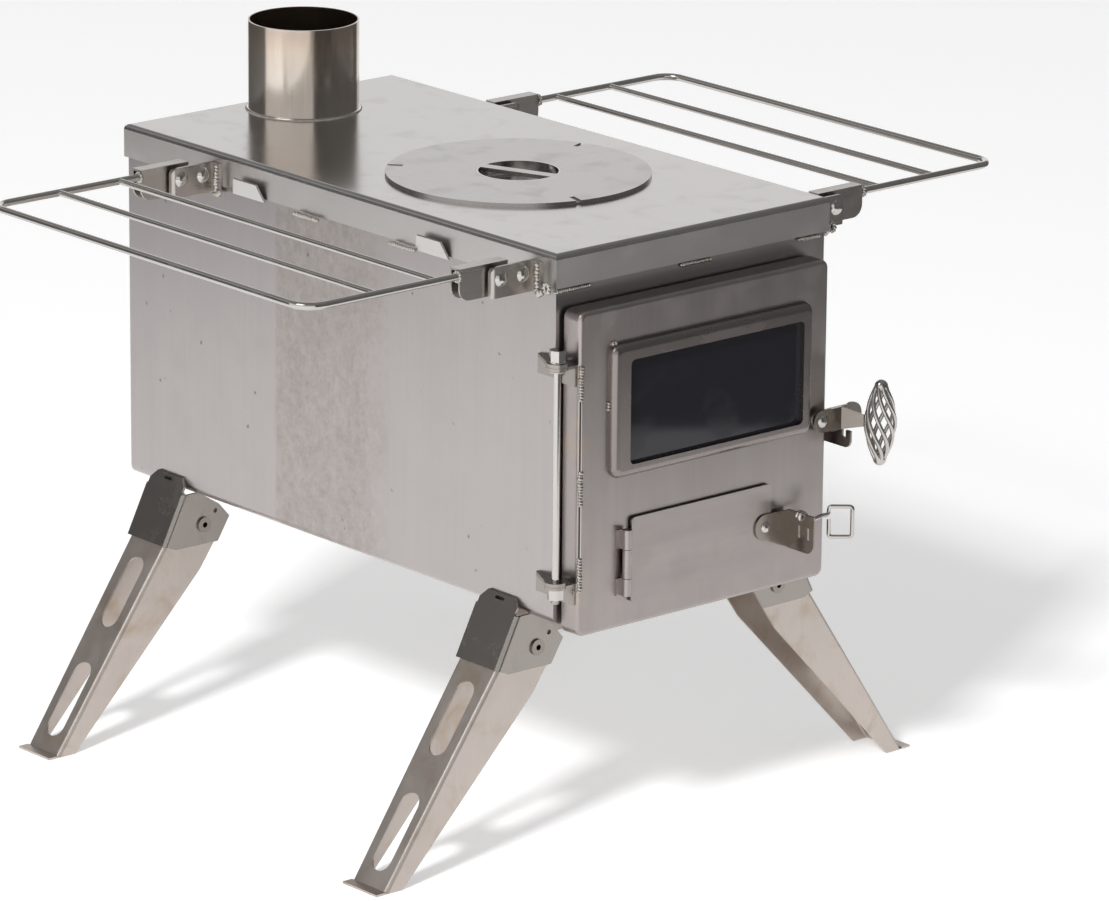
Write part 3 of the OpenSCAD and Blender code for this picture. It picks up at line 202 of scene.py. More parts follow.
# Hinge rod: height, reach and thickness of each washer, then its thread
WASHERS = (
    (HEAD_FOOT + 0.3 * MM, 4.3 * MM, 0.55 * MM), (HEAD_FOOT - 4.7 * MM, 3.9 * MM, 0.6 * MM),
    (NUT_HIGH.z + 0.1 * MM, 4.2 * MM, 0.55 * MM))
ROD_R = 2.0 * MM
THREAD_R = 0.28 * MM
THREAD_START = 0.6

# Cage handle
CAP_R = 3.8 * MM
ROD_END_SHARE = 0.55
ROD_SPAN_SHARE = 0.9
CAGE_STEPS = 28

# Studio
FLOOR_SIZE = 24.0
CLOTH_GAP = 2 * MM
CLOTH_COLOUR = (0.15, 0.15, 0.15)
CLOTH_STEPS = 18
SENSOR_WIDTH = 36.0
SIGHT_END = 50.0
WHITE = (1.0, 1.0, 1.0)
SKY_FADE = (0.67, 0.80)


class StoveStageSettings(bpy.types.PropertyGroup):
    """Studio and camera."""

    azimuth: bpy.props.FloatProperty(
        name="Azimuth", description="Turn of the camera round the stove, 0 looks along +Y",
        default=math.radians(-40.934), subtype="ANGLE")
    elevation: bpy.props.FloatProperty(
        name="Elevation", description="Height of the camera above the horizon",
        default=math.radians(16.404), subtype="ANGLE")
    roll: bpy.props.FloatProperty(
        name="Roll", description="Turn of the camera about its own line of sight",
        default=math.radians(0.503), subtype="ANGLE")
    distance: bpy.props.FloatProperty(
        name="Distance", description="Distance of the camera from its target",
        default=3.9682, unit="LENGTH")
    target: bpy.props.FloatVectorProperty(
        name="Target", description="Point that the camera looks at",
        default=(0.05687, 0.015475, 0.169), size=3, unit="LENGTH")
    focal: bpy.props.FloatProperty(
        name="Focal length", description="Focal length of the camera in millimetres",
        default=225.91)
    floor_colour: bpy.props.FloatVectorProperty(
        name="Floor colour", description="Colour of the studio floor",
        default=(0.86, 0.86, 0.86), size=3, subtype="COLOR")
    floor_glow: bpy.props.FloatProperty(
        name="Floor glow", description="White added to the floor where it is seen or mirrored",
        default=0.33)
    world_strength: bpy.props.FloatProperty(
        name="World strength", description="Strength of the studio's soft surrounding light",
        default=1.0)
    sky_share: bpy.props.FloatProperty(
        name="Sky share", description="Brightness of the upper sky as a share of the low band",
        default=0.26)
    flag_near: bpy.props.FloatProperty(
        name="Front cloth near edge", description="Distance of the front cloth's near edge",
        default=0.95, unit="LENGTH")
    flag_far: bpy.props.FloatProperty(
        name="Front cloth distance", description="Distance of the front cloth's standing part",
        default=2.6, unit="LENGTH")
    flag_height: bpy.props.FloatProperty(
        name="Front cloth height", description="Height of the front cloth's standing part",
        default=3.2, unit="LENGTH")
    flag_turns: bpy.props.FloatVectorProperty(
        name="Front cloth turns", description="Where the front cloth starts and ends",
        default=(math.radians(-110.0), math.radians(20.0)), size=2, subtype="EULER")
    back_turns: bpy.props.FloatVectorProperty(
        name="Back cloth turns", description="Where the back cloth starts and ends",
        default=(math.radians(72.0), math.radians(142.0)), size=2, subtype="EULER")
    back_near: bpy.props.FloatProperty(
        name="Back cloth near edge", description="Distance of the back cloth's near edge",
        default=1.38, unit="LENGTH")
    back_far: bpy.props.FloatProperty(
        name="Back cloth distance", description="Distance of the back cloth's standing part",
        default=2.4, unit="LENGTH")
    back_high: bpy.props.FloatProperty(
        name="Back cloth height", description="Height of the back cloth's standing part",
        default=1.45, unit="LENGTH")
    key_place: bpy.props.FloatVectorProperty(
        name="Key place", description="Place of the soft box that throws the shadow",
        default=(-3.95, -1.86, 3.67), size=3, unit="LENGTH")
    key_size: bpy.props.FloatProperty(
        name="Key size", description="Side of the key's soft box", default=0.7, unit="LENGTH")
    key_power: bpy.props.FloatProperty(
        name="Key power", description="Power of the key's soft box in watts", default=245.0)
    sheen_place: bpy.props.FloatVectorProperty(
        name="Sheen place", description="Place of the large soft box that the metal mirrors",
        default=(-3.9, 0.1, 4.2), size=3, unit="LENGTH")
    sheen_size: bpy.props.FloatProperty(
        name="Sheen size", description="Side of the sheen's soft box", default=2.6, unit="LENGTH")
    sheen_power: bpy.props.FloatProperty(
        name="Sheen power", description="Power of the sheen's soft box in watts", default=60.0)


class StoveFinishSettings(bpy.types.PropertyGroup):
    """Colours of the finishes."""

    cover_colour: bpy.props.FloatVectorProperty(
        name="Cover colour", description="Bright sheet of the cover and lid",
        default=(0.50, 0.479, 0.466), size=3, subtype="COLOR")
    collar_colour: bpy.props.FloatVectorProperty(
        name="Collar colour", description="Warm bright sheet of the flue collar",
        default=(0.62, 0.56, 0.505), size=3, subtype="COLOR")
    wall_colour: bpy.props.FloatVectorProperty(
        name="Wall colour", description="Sheet of the firebox walls",
        default=(0.46, 0.427, 0.42), size=3, subtype="COLOR")
    door_colour: bpy.props.FloatVectorProperty(
        name="Door colour", description="Brownish sheet of the door and its flap",
        default=(0.39, 0.352, 0.34), size=3, subtype="COLOR")
    frame_colour: bpy.props.FloatVectorProperty(
        name="Frame colour", description="Darker pressed sheet of the window frame",
        default=(0.27, 0.24, 0.228), size=3, subtype="COLOR")
    leg_colour: bpy.props.FloatVectorProperty(
        name="Leg colour", description="Pale satin sheet of the legs",
        default=(0.57, 0.51, 0.468), size=3, subtype="COLOR")
    bracket_colour: bpy.props.FloatVectorProperty(
        name="Bracket colour", description="Sheet of the leg brackets and hinge ears",
        default=(0.35, 0.32, 0.295), size=3, subtype="COLOR")
    dark_colour: bpy.props.FloatVectorProperty(
        name="Dark sheet colour", description="Dark sheet of the rack ears and inner plates",
        default=(0.44, 0.41, 0.385), size=3, subtype="COLOR")
    latch_colour: bpy.props.FloatVectorProperty(
        name="Latch colour", description="Dark brownish sheet of the latch levers",
        default=(0.30, 0.27, 0.24), size=3, subtype="COLOR")
    rod_colour: bpy.props.FloatVectorProperty(
        name="Rod colour", description="Polished rods, wire and rivets",
        default=(0.54, 0.515, 0.49), size=3, subtype="COLOR")
    # Painted shade: the opaque glass is painted near-black for the shaded firebox behind it
    glass_shade_colour: bpy.props.FloatVectorProperty(
        name="Glass shade colour", description="Window glass over the dark firebox",
        default=(0.012, 0.012, 0.016), size=3, subtype="COLOR")
    weld_colour: bpy.props.FloatVectorProperty(
        name="Weld colour", description="Weld beads",
        default=(0.50, 0.48, 0.45), size=3, subtype="COLOR")
    tape_colour: bpy.props.FloatVectorProperty(
        name="Tape colour", description="Woven door gasket",
        default=(0.06, 0.06, 0.06), size=3, subtype="COLOR")


class StovePieceSettings(bpy.types.PropertyGroup):
    """Sizes of the pieces that are modelled here."""

    bead_radius: bpy.props.FloatProperty(
        name="Bead radius", description="Radius of a weld bead",
        default=1.6 * MM, unit="LENGTH")
    cage_rod: bpy.props.FloatProperty(
        name="Cage rod", description="Diameter of a rod in the cage handle",
        default=2.4 * MM, unit="LENGTH")
    cage_rods: bpy.props.IntProperty(
        name="Cage rods", description="Number of rods in the cage handle", default=8)
    cage_turn: bpy.props.FloatProperty(
        name="Cage turn", description="Turn of a rod from the handle's top to its foot",
        default=math.radians(150), subtype="ANGLE")
    grip_wire: bpy.props.FloatProperty(
        name="Grip wire", description="Diameter of the flap grip's wire",
        default=2.4 * MM, unit="LENGTH")
    grip_turn: bpy.props.FloatProperty(
        name="Grip turn", description="Turn of the grip's loop towards the front",
        default=math.radians(40), subtype="ANGLE")
    thread_pitch: bpy.props.FloatProperty(
        name="Thread pitch", description="Pitch of the hinge rod's thread",
        default=0.8 * MM, unit="LENGTH")


# Node tools

def feed(tree, socket, value):
    """Links a socket to an input, or gives the input a number, a vector or a colour."""
    if hasattr(value, "links"):
        tree.links.new(value, socket)
    elif isinstance(value, (int, float)):
        socket.default_value = value
    else:
        socket.default_value = (*value, 1.0)[:len(socket.default_value)]


def add_node(tree, kind, inputs=(), **values):
    """A node with its inputs fed, by name or number, and some of its settings given."""
    made = tree.nodes.new(kind)
    for key, value in values.items():
        setattr(made, key, value)
    for key, value in dict(inputs).items():
        feed(tree, made.inputs[key], value)
    return made


def maths(tree, operation, a, b, clamp=False):
    """The result of a maths node on two sockets or numbers."""
    return add_node(tree, "ShaderNodeMath", {0: a, 1: b}, operation=operation,
                    use_clamp=clamp).outputs[0]


def plus(tree, total, *others):
    """The sum of sockets or numbers."""
    for other in others:
        total = maths(tree, "ADD", total, other)
    return total


def times(tree, a, b):
    """The product of two sockets or numbers."""
    return maths(tree, "MULTIPLY", a, b)


def swing(tree, value, amount, middle=0.5):
    """A value's distance from its middle, times an amount."""
    return times(tree, maths(tree, "SUBTRACT", value, middle), amount)


def spread(tree, value, low, high, smooth=False):
    """A value's place between two bounds, from 0 to 1."""
    return add_node(tree, "ShaderNodeMapRange", {"Value": value, "From Min": low, "From Max": high},
                    interpolation_type="SMOOTHSTEP" if smooth else "LINEAR").outputs["Result"]


def band_mask(tree, place, edges, soft):
    """1 between two places along an axis, with soft edges."""
    rise, fall = (spread(tree, place, edge - soft, edge + soft, smooth=True) for edge in edges)
    return maths(tree, "SUBTRACT", rise, fall)


def axis_of(tree, vector, axis):
    """One coordinate of a vector."""
    return add_node(tree, "ShaderNodeSeparateXYZ", {0: vector}).outputs[axis]


def ramp(tree, fac, stops):
    """A colour ramp between stops of (position, colour)."""
    made = add_node(tree, "ShaderNodeValToRGB", {"Fac": fac})
    elements = made.color_ramp.elements
    while len(elements) < len(stops):
        elements.new(0.5)
    for element, (place, colour) in zip(elements, stops):
        element.position = place
        element.color = (*colour, 1.0)
    return made.outputs["Color"]


def noise(tree, vector, scale, detail, rough=0.5, distortion=0.0):
    """A noise texture's value."""
    return add_node(tree, "ShaderNodeTexNoise", {
        "Vector": vector, "Scale": scale, "Detail": detail, "Roughness": rough,
        "Distortion": distortion}).outputs["Fac"]


def stretched(tree, vector, scale):
    """Coordinates scaled along each axis."""
    return add_node(tree, "ShaderNodeMapping", {"Vector": vector, "Scale": scale}).outputs[0]


def mix_colour(tree, fac, a, b, blend="MIX"):
    """A colour mixed from two colours or sockets."""
    return add_node(tree, "ShaderNodeMix", {"Factor": fac, "A": a, "B": b},
                    data_type="RGBA", blend_type=blend).outputs["Result"]


def brighten(tree, colour, amount):
    """A colour made lighter or darker by a signed amount."""
    return add_node(tree, "ShaderNodeVectorMath", {0: colour, "Scale": plus(tree, amount, 1.0)},
                    operation="SCALE").outputs[0]


def pattern_group(name, other, first, second, first_share, smudge=None):
    """A shader node group of two mixed noises, whose Value swings about 0 by Amount.

    first and second are the noises' scale, detail, roughness and distortion. The other output is
    the mix, or where smudge gives two bounds, the second noise between them."""
    if name in bpy.data.node_groups:
        return
    tree = bpy.data.node_groups.new(name, "ShaderNodeTree")
    for label, way, kind in (("Vector", "INPUT", "Vector"), ("Amount", "INPUT", "Float"),
                             ("Value", "OUTPUT", "Float"), (other, "OUTPUT", "Float")):
        tree.interface.new_socket(name=label, in_out=way, socket_type="NodeSocket" + kind)
    into = add_node(tree, "NodeGroupInput")
    out = add_node(tree, "NodeGroupOutput")
    first, second = (noise(tree, into.outputs["Vector"], *values) for values in (first, second))
    both = plus(tree, times(tree, first, first_share), times(tree, second, 1.0 - first_share))
    tree.links.new(swing(tree, both, into.outputs["Amount"]), out.inputs["Value"])
    tree.links.new(spread(tree, second, *smudge) if smudge else both, out.inputs[other])


def pattern(tree, name, vector, amount):
    """The outputs of a pattern group, placed with its vector and amount."""
    return add_node(tree, "ShaderNodeGroup", {"Vector": vector, "Amount": amount},
                    node_tree=bpy.data.node_groups[name]).outputs


def new_material(name):
    """A new material's tree, its Principled shader and its Object coordinates."""
    material = bpy.data.materials.new(name)
    material.use_nodes = True
    tree = material.node_tree
    coords = add_node(tree, "ShaderNodeTexCoord").outputs["Object"]
    return tree, tree.nodes["Principled BSDF"], coords


def surface(tree, shader, colour, rough, metallic=1.0):
    """Gives a shader its colour, roughness and metal."""
    tree.links.new(colour, shader.inputs["Base Color"])
    feed(tree, shader.inputs["Roughness"], rough)
    shader.inputs["Metallic"].default_value = metallic


def relief(tree, shader, height, strength, depth):
    """Gives a shader its bump."""
    made = add_node(tree, "ShaderNodeBump",
                    {"Height": height, "Strength": strength, "Distance": depth})
    tree.links.new(made.outputs["Normal"], shader.inputs["Normal"])


# Finishes

def worn_sheet(name, stretch, grain, clouds):
    """A new sheet metal's tree, shader, coordinates plain and stretched, grain and clouds."""
    tree, shader, coords = new_material(name)
    along = stretched(tree, coords, stretch)
    brushed = pattern(tree, GRAIN, along, grain)
    return tree, shader, coords, along, brushed, pattern(tree, HANDLED, coords, clouds)


def sheet_steel(name, colour, rough, stretch, grain, clouds, bump, dull_below=None):
    """Brushed stainless sheet: streaks along the stretched axis, clouds and light smudges.

    Below the height dull_below the sheet is less polished, and painted paler: a painted lighter
    tone on the flanges."""
    tree, shader, coords, along, brushed, handled = worn_sheet(name, stretch, grain, clouds)
    shade = plus(tree, brushed["Value"], handled["Value"])
    rough = plus(tree, rough, times(tree, brushed["Value"], 0.5))
    if dull_below is not None:
        dull = maths(tree, "LESS_THAN", axis_of(tree, coords, "Z"), dull_below)
        # Painted light: the flanges below the polished top are painted paler than the top
        shade = plus(tree, shade, times(tree, dull, FLANGE_PAINTED_LIGHTER))
        rough = plus(tree, rough, times(tree, dull, RIM_ROUGHER))
    rough = plus(tree, rough, times(tree, handled["Smudge"], SMUDGE_DULLS))
    surface(tree, shader, brighten(tree, colour, shade), rough)
    relief(tree, shader, brushed["Height"], bump, GRAIN_DEPTH)


def wall_steel(colour):
    """Firebox wall: upright grain and streaks, with one mottled, warmer band and a few specks."""
    tree, shader, coords, along, brushed, handled = worn_sheet(
        "Wall steel", ALONG_Z, grain=0.10, clouds=0.16)
    streaks = swing(tree, noise(tree, along, scale=60.0, detail=3.0), 0.07)
    place = axis_of(tree, coords, "Y")
    ragged = swing(tree, noise(tree, coords, scale=24.0, detail=4.0), BAND_RAGGED)
    ragged = plus(tree, place, ragged)
    fading = band_mask(tree, ragged, [edge + BAND_FADE for edge in BAND_EDGES], BAND_FADE)
    fading = plus(tree, BAND_LEAST, times(tree, fading, 1.0 - BAND_LEAST))
    band = times(tree, band_mask(tree, place, BAND_EDGES, BAND_SOFT), fading)
    mottle = noise(tree, coords, scale=190.0, detail=4.0, rough=0.7)
    mottle = swing(tree, mottle, MOTTLE, middle=0.60)
    shade = plus(tree, brushed["Value"], handled["Value"], streaks, times(tree, mottle, band))
    band_colour = [part * tint for part, tint in zip(colour, BAND_TINT)]
    lit = brighten(tree, mix_colour(tree, times(tree, band, 0.5), colour, band_colour), shade)
    specks = spread(tree, noise(tree, coords, scale=150.0, detail=1.0), *SPECK_BOUNDS)
    spotted = mix_colour(tree, times(tree, specks, 0.6), lit, SPECK_COLOUR)
    rough = plus(tree, WALL_ROUGH, times(tree, band, 0.05), times(tree, handled["Smudge"], 0.05))
    surface(tree, shader, spotted, rough)
    relief(tree, shader, noise(tree, coords, scale=14.0, detail=2.0), 0.05, DENT_DEPTH)


def door_steel(name, colour, stretch):
    """Door and flap: brownish brushed sheet, rubbed streaks and straw stains by its welds."""
    tree, shader, coords, along, brushed, handled = worn_sheet(
        name, stretch, grain=0.12, clouds=0.34)
    streaks = swing(tree, noise(tree, along, scale=70.0, detail=4.0), 0.26)
    edges = (DOOR_LOW.x - SEAM_STAIN_WIDTH, DOOR_LOW.x + SEAM_STAIN_WIDTH)
    seam = band_mask(tree, axis_of(tree, coords, "X"), edges, SEAM_STAIN_SOFT)
    patchy = spread(tree, noise(tree, coords, scale=55.0, detail=3.0), *SEAM_STAIN_BOUNDS)
    stain = times(tree, seam, times(tree, patchy, 0.28))
    shade = plus(tree, brushed["Value"], handled["Value"], streaks)
    rough = plus(tree, DOOR_ROUGH, times(tree, brushed["Value"], GRAIN_DULLS),
                 times(tree, handled["Smudge"], SMUDGE_DULLS))
    stained = mix_colour(tree, stain, colour, SEAM_STAIN)
    surface(tree, shader, brighten(tree, stained, shade), rough)
    relief(tree, shader, brushed["Height"], SOFT_BUMP, GRAIN_DEPTH)


def leg_steel(colour):
    """Legs: pale, duller sheet with drawn grain and brown handling stains."""
    tree, shader, coords, along, brushed, handled = worn_sheet(
        "Leg steel", ALONG_Z, grain=0.12, clouds=0.45)
    patchy = noise(tree, coords, scale=38.0, detail=5.0, rough=0.6, distortion=0.5)
    patchy = spread(tree, patchy, *LEG_STAIN_BOUNDS)
    stained = mix_colour(tree, times(tree, patchy, 0.75), colour, LEG_STAIN)
    shade = plus(tree, brushed["Value"], handled["Value"])
    rough = plus(tree, LEG_ROUGH, times(tree, brushed["Value"], GRAIN_DULLS),
                 times(tree, handled["Smudge"], SMUDGE_DULLS))
    surface(tree, shader, brighten(tree, stained, shade), rough)
    relief(tree, shader, brushed["Height"], SOFT_BUMP, GRAIN_DEPTH)


def collar_steel(colour):
    """The flue collar: bright sheet with straw and blue heat tint towards its rim."""
    # The upright grain is brushing, set strong enough to stand in for painted reflection bands too
    tree, shader, coords, along, brushed, handled = worn_sheet(
        "Flue collar steel", UP_COLLAR, grain=0.3, clouds=0.4)
    plain = brighten(tree, colour, plus(tree, brushed["Value"], handled["Value"]))
    height = maths(tree, "SUBTRACT", axis_of(tree, coords, "Z"), COLLAR_LOW.z)
    share = maths(tree, "DIVIDE", height, COLLAR_HIGH.z - COLLAR_LOW.z, clamp=True)
    tint = ramp(tree, plus(tree, share, times(tree, handled["Value"], 0.35)), HEAT_TINTS)
    surface(tree, shader, mix_colour(tree, 0.7, plain, tint, blend="MULTIPLY"),
            plus(tree, COLLAR_ROUGH, times(tree, brushed["Value"], 0.3)))


def smooth_finish(name, colour, clouds, rough, smudges, metallic=1.0):
    """Polished rod, dish or glass: faint clouds, and smudges that dull it."""
    tree, shader, coords = new_material(name)
    handled = pattern(tree, HANDLED, coords, clouds)
    surface(tree, shader, brighten(tree, colour, handled["Value"]),
            plus(tree, rough, times(tree, handled["Smudge"], smudges)), metallic)


def seam_shadow(name):
    """Painted shade: a near-black surface that stands in for the shade inside a slit or pit, with
    faint clouds.
    """
    tree, shader, coords = new_material(name)
    handled = pattern(tree, HANDLED, coords, amount=0.5)
    surface(tree, shader, brighten(tree, SLIT_SHADE_COLOUR, handled["Value"]), SLIT_SHADE_ROUGH, metallic=0.0)


def weld_metal(colour):
    """Weld bead: rippled, straw-tinted steel."""
    tree, shader, coords = new_material("Weld metal")
    handled = pattern(tree, HANDLED, stretched(tree, coords, (6.0, 6.0, 6.0)), amount=0.6)
    plain = brighten(tree, colour, handled["Value"])
    surface(tree, shader, mix_colour(tree, handled["Smudge"], plain, WELD_STAIN),
            plus(tree, WELD_ROUGH, times(tree, handled["Smudge"], 0.2)))


def woven_tape(colour):
    """Woven gasket tape."""
    tree, shader, coords = new_material("Woven tape")
    weave = add_node(tree, "ShaderNodeTexChecker", {"Vector": coords, "Scale": 900.0})
    handled = pattern(tree, HANDLED, coords, amount=0.4)
    shade = plus(tree, handled["Value"], times(tree, weave.outputs["Fac"], 0.3))
    surface(tree, shader, brighten(tree, colour, shade), TAPE_ROUGH, metallic=0.0)
    relief(tree, shader, weave.outputs["Fac"], 0.4, WEAVE_DEPTH)


# Sheet finishes: colour setting, roughness, way of the grain, grain, clouds, bump and, on the
# cover, the height below which it is dull and painted paler
SHEETS = {
    "Cover steel": ("cover_colour", 0.19, ALONG_Y, 0.10, 0.05, 0.012, COVER_HIGH.z - RIM_TOP),
    "Lid steel": ("cover_colour", 0.28, ALONG_X, 0.12, 0.06, 0.015),
    "Frame steel": ("frame_colour", 0.25, ALONG_X, 0.08, 0.06, 0.01),
    "Latch steel": ("latch_colour", 0.22, ALONG_X, 0.10, 0.12, 0.015),
    "Ear steel": ("bracket_colour", 0.26, ALONG_Z, 0.06, 0.10, 0.006),
    "Bracket steel": ("bracket_colour", 0.25, ALONG_Z, 0.05, 0.06, 0.004),
    "Dark steel": ("dark_colour", 0.28, ALONG_X, 0.12, 0.14, 0.03),
}

# What the names of the CAD nodes with each finish start with
NODES_OF_FINISH = {
    "Cover steel": ("cover",),
    "Lid steel": ("lid_plate", "lid_grip"),
    "Dish steel": ("lid_dish",),
    "Flue collar steel": ("flue_collar",),
    "Wall steel": ("firebox_shell", "front_frame", "back_panel"),
    "Door steel": ("door_panel", "flap_hinge_leaf", "flap_catch"),
    "Flap steel": ("air_flap",),
    "Frame steel": ("window_frame",),
    "Window glass": ("window_glass",),
    "Woven tape": ("door_gasket",),
    "Ear steel": ("body_hinge_ears", "door_hinge_ears"),
    "Latch steel": ("latch_keeper", "latch_lever", "flap_lever", "leg_rivets"),
    "Leg steel": ("leg_front", "leg_rear"),
    "Bracket steel": ("bracket",),
    "Dark steel": ("rack_tabs", "rack_ear", "baffle_plate", "fire_grate", "door_liner",
                   "glass_clips"),
    "Rod steel": ("rack_frame", "rack_rivets", "latch_cage", "latch_rivet", "latch_washer",
                  "flap_grip", "flap_rivet", "flap_hinge_pin", "hinge_rod", "hinge_nut"),
}


def finish_name(node):
    """The finish that a CAD node gets."""
    for finish, starts in NODES_OF_FINISH.items():
        if node.startswith(starts):
            return finish
    raise KeyError(node)


class StoveFinishes(bpy.types.Operator):
    """Makes the finishes and gives each CAD node its own."""

    bl_idname = "stove.finishes"
    bl_label = "Finishes"

    def execute(self, context):
        s = context.scene.stove_finish
        pattern_group(GRAIN, "Height", (900.0, 2.0, 0.6), (260.0, 3.0, 0.6), 0.6)
        pattern_group(HANDLED, "Smudge", (9.0, 4.0, 0.55, 0.6), (46.0, 5.0, 0.6, 0.4), 0.65,
                      smudge=(0.52, 0.66))
        for name, (colour, *values) in SHEETS.items():
            sheet_steel(name, getattr(s, colour), *values)
        wall_steel(s.wall_colour)
        door_steel("Door steel", s.door_colour, ALONG_Z)
        door_steel("Flap steel", s.door_colour, ALONG_X)
        leg_steel(s.leg_colour)
        collar_steel(s.collar_colour)
        smooth_finish("Dish steel", s.cover_colour, 0.35, 0.16, 0.1)
        smooth_finish("Rod steel", s.rod_colour, 0.35, 0.12, 0.1)
        # The opaque glass's near-black colour is painted shade of the firebox seen through it
        smooth_finish("Window glass", s.glass_shade_colour, 0.5, 0.05, 0.05, metallic=0.0)
        seam_shadow("Seam shadow")
        weld_metal(s.weld_colour)
        woven_tape(s.tape_colour)
        for name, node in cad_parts.items():
            material = bpy.data.materials[finish_name(name)]
            for place in node.material_slots:
                place.material = material
        return {"FINISHED"}


# Modelling tools

def clear_selection():
    """Leaves nothing selected and no object in edit mode."""
    if bpy.context.object and bpy.context.object.mode != "OBJECT":
        bpy.ops.object.mode_set(mode="OBJECT")
    bpy.ops.object.select_all(action="DESELECT")


def select(*pieces):
    """Selects pieces alone, with the first active."""
    clear_selection()
    for piece in pieces:
        piece.select_set(True)
    bpy.context.view_layer.objects.active = pieces[0]


def link(name, data):
    """A new object in the scene."""
    made = bpy.data.objects.new(name, data)
    bpy.context.scene.collection.objects.link(made)
    return made


def joined(pieces):
    """Several mesh objects joined into the first."""
    select(*pieces)
    bpy.ops.object.join()
    return bpy.context.object


def settle(piece, name, finish, body):
    """Names a piece, gives its finish and its body, with its place in its mesh."""
    select(piece)
    bpy.ops.object.transform_apply(location=True, rotation=True, scale=True)
    piece.name = piece.data.name = name
    piece.data.materials.clear()
    piece.data.materials.append(bpy.data.materials[finish])
    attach(piece, body)
    return piece


def ball(place, segments, rings, radius=1.0, scale=(1.0, 1.0, 1.0)):
    """A smooth ball."""
    clear_selection()
    bpy.ops.mesh.primitive_uv_sphere_add(
        segments=segments, ring_count=rings, radius=radius, location=place, scale=scale)
    bpy.ops.object.shade_smooth()
    return bpy.context.object


def wire_piece(points, radius):
    """A round wire along points, as a mesh."""
    curve = bpy.data.curves.new("wire", "CURVE")
    curve.dimensions = "3D"
    curve.bevel_depth = radius
    curve.bevel_resolution = 6
    curve.use_fill_caps = True
    spline = curve.splines.new("POLY")
    spline.points.add(len(points) - 1)
    for point, place in zip(spline.points, points):
        point.co = (*place, 1.0)
    select(link("wire", curve))
    bpy.ops.object.convert(target="MESH")
    bpy.ops.object.shade_smooth_by_angle(angle=math.radians(50))
    return bpy.context.object


def rounded_path(corners, radius, steps=5):
    """Points along straight runs between corners, each inner corner rounded by an arc."""
    points = [corners[0]]
    for last, corner, following in zip(corners, corners[1:], corners[2:]):
        before = (last - corner).normalized()
        after = (following - corner).normalized()
        reach = radius / math.tan(before.angle(after) / 2)
        start, end = corner + before * reach, corner + after * reach
        for k in range(steps + 1):
            t = k / steps
            points.append(start * (1 - t) ** 2 + corner * 2 * t * (1 - t) + end * t ** 2)
    return points + [corners[-1]]


def round_runs(centre, across, up, count):
    """The short runs that make up an ellipse, between points given by its two half axes."""
    turns = [2 * math.pi * i / count for i in range(count + 1)]
    ring = [centre + across * math.cos(turn) + up * math.sin(turn) for turn in turns]
    return list(zip(ring, ring[1:]))


def copies(model, places):
    """Copies of a modelled piece at several places, joined into one piece."""
    made = []
    for place in places:
        copy = link(model.name, model.data.copy())
        copy.matrix_basis = place
        made.append(copy)
    bpy.data.objects.remove(model)
    bpy.context.view_layer.update()
    return joined(made)


def bead_places(points, out, radius, draw):
    """Places of the overlapping ripples of a weld bead along points, proud towards out."""
    places = []
    for a, b in zip(points, points[1:]):
        run = b - a
        along = run.normalized()
        side = out.cross(along).normalized()
        turn = Matrix((along, side, along.cross(side))).transposed().to_4x4()
        count = max(1, round(run.length / (radius * RIPPLE_STEP_SHARE)))
        for i in range(count + (b == points[-1])):
            size = radius * draw.uniform(*RIPPLE_SIZES)
            shift = side * radius * draw.uniform(*RIPPLE_SHIFTS)
            places.append(Matrix.Translation(a + run * i / count + shift) @ turn
                          @ Matrix.Diagonal((*(size * share for share in RIPPLE_SHAPE), 1.0)))
    return places


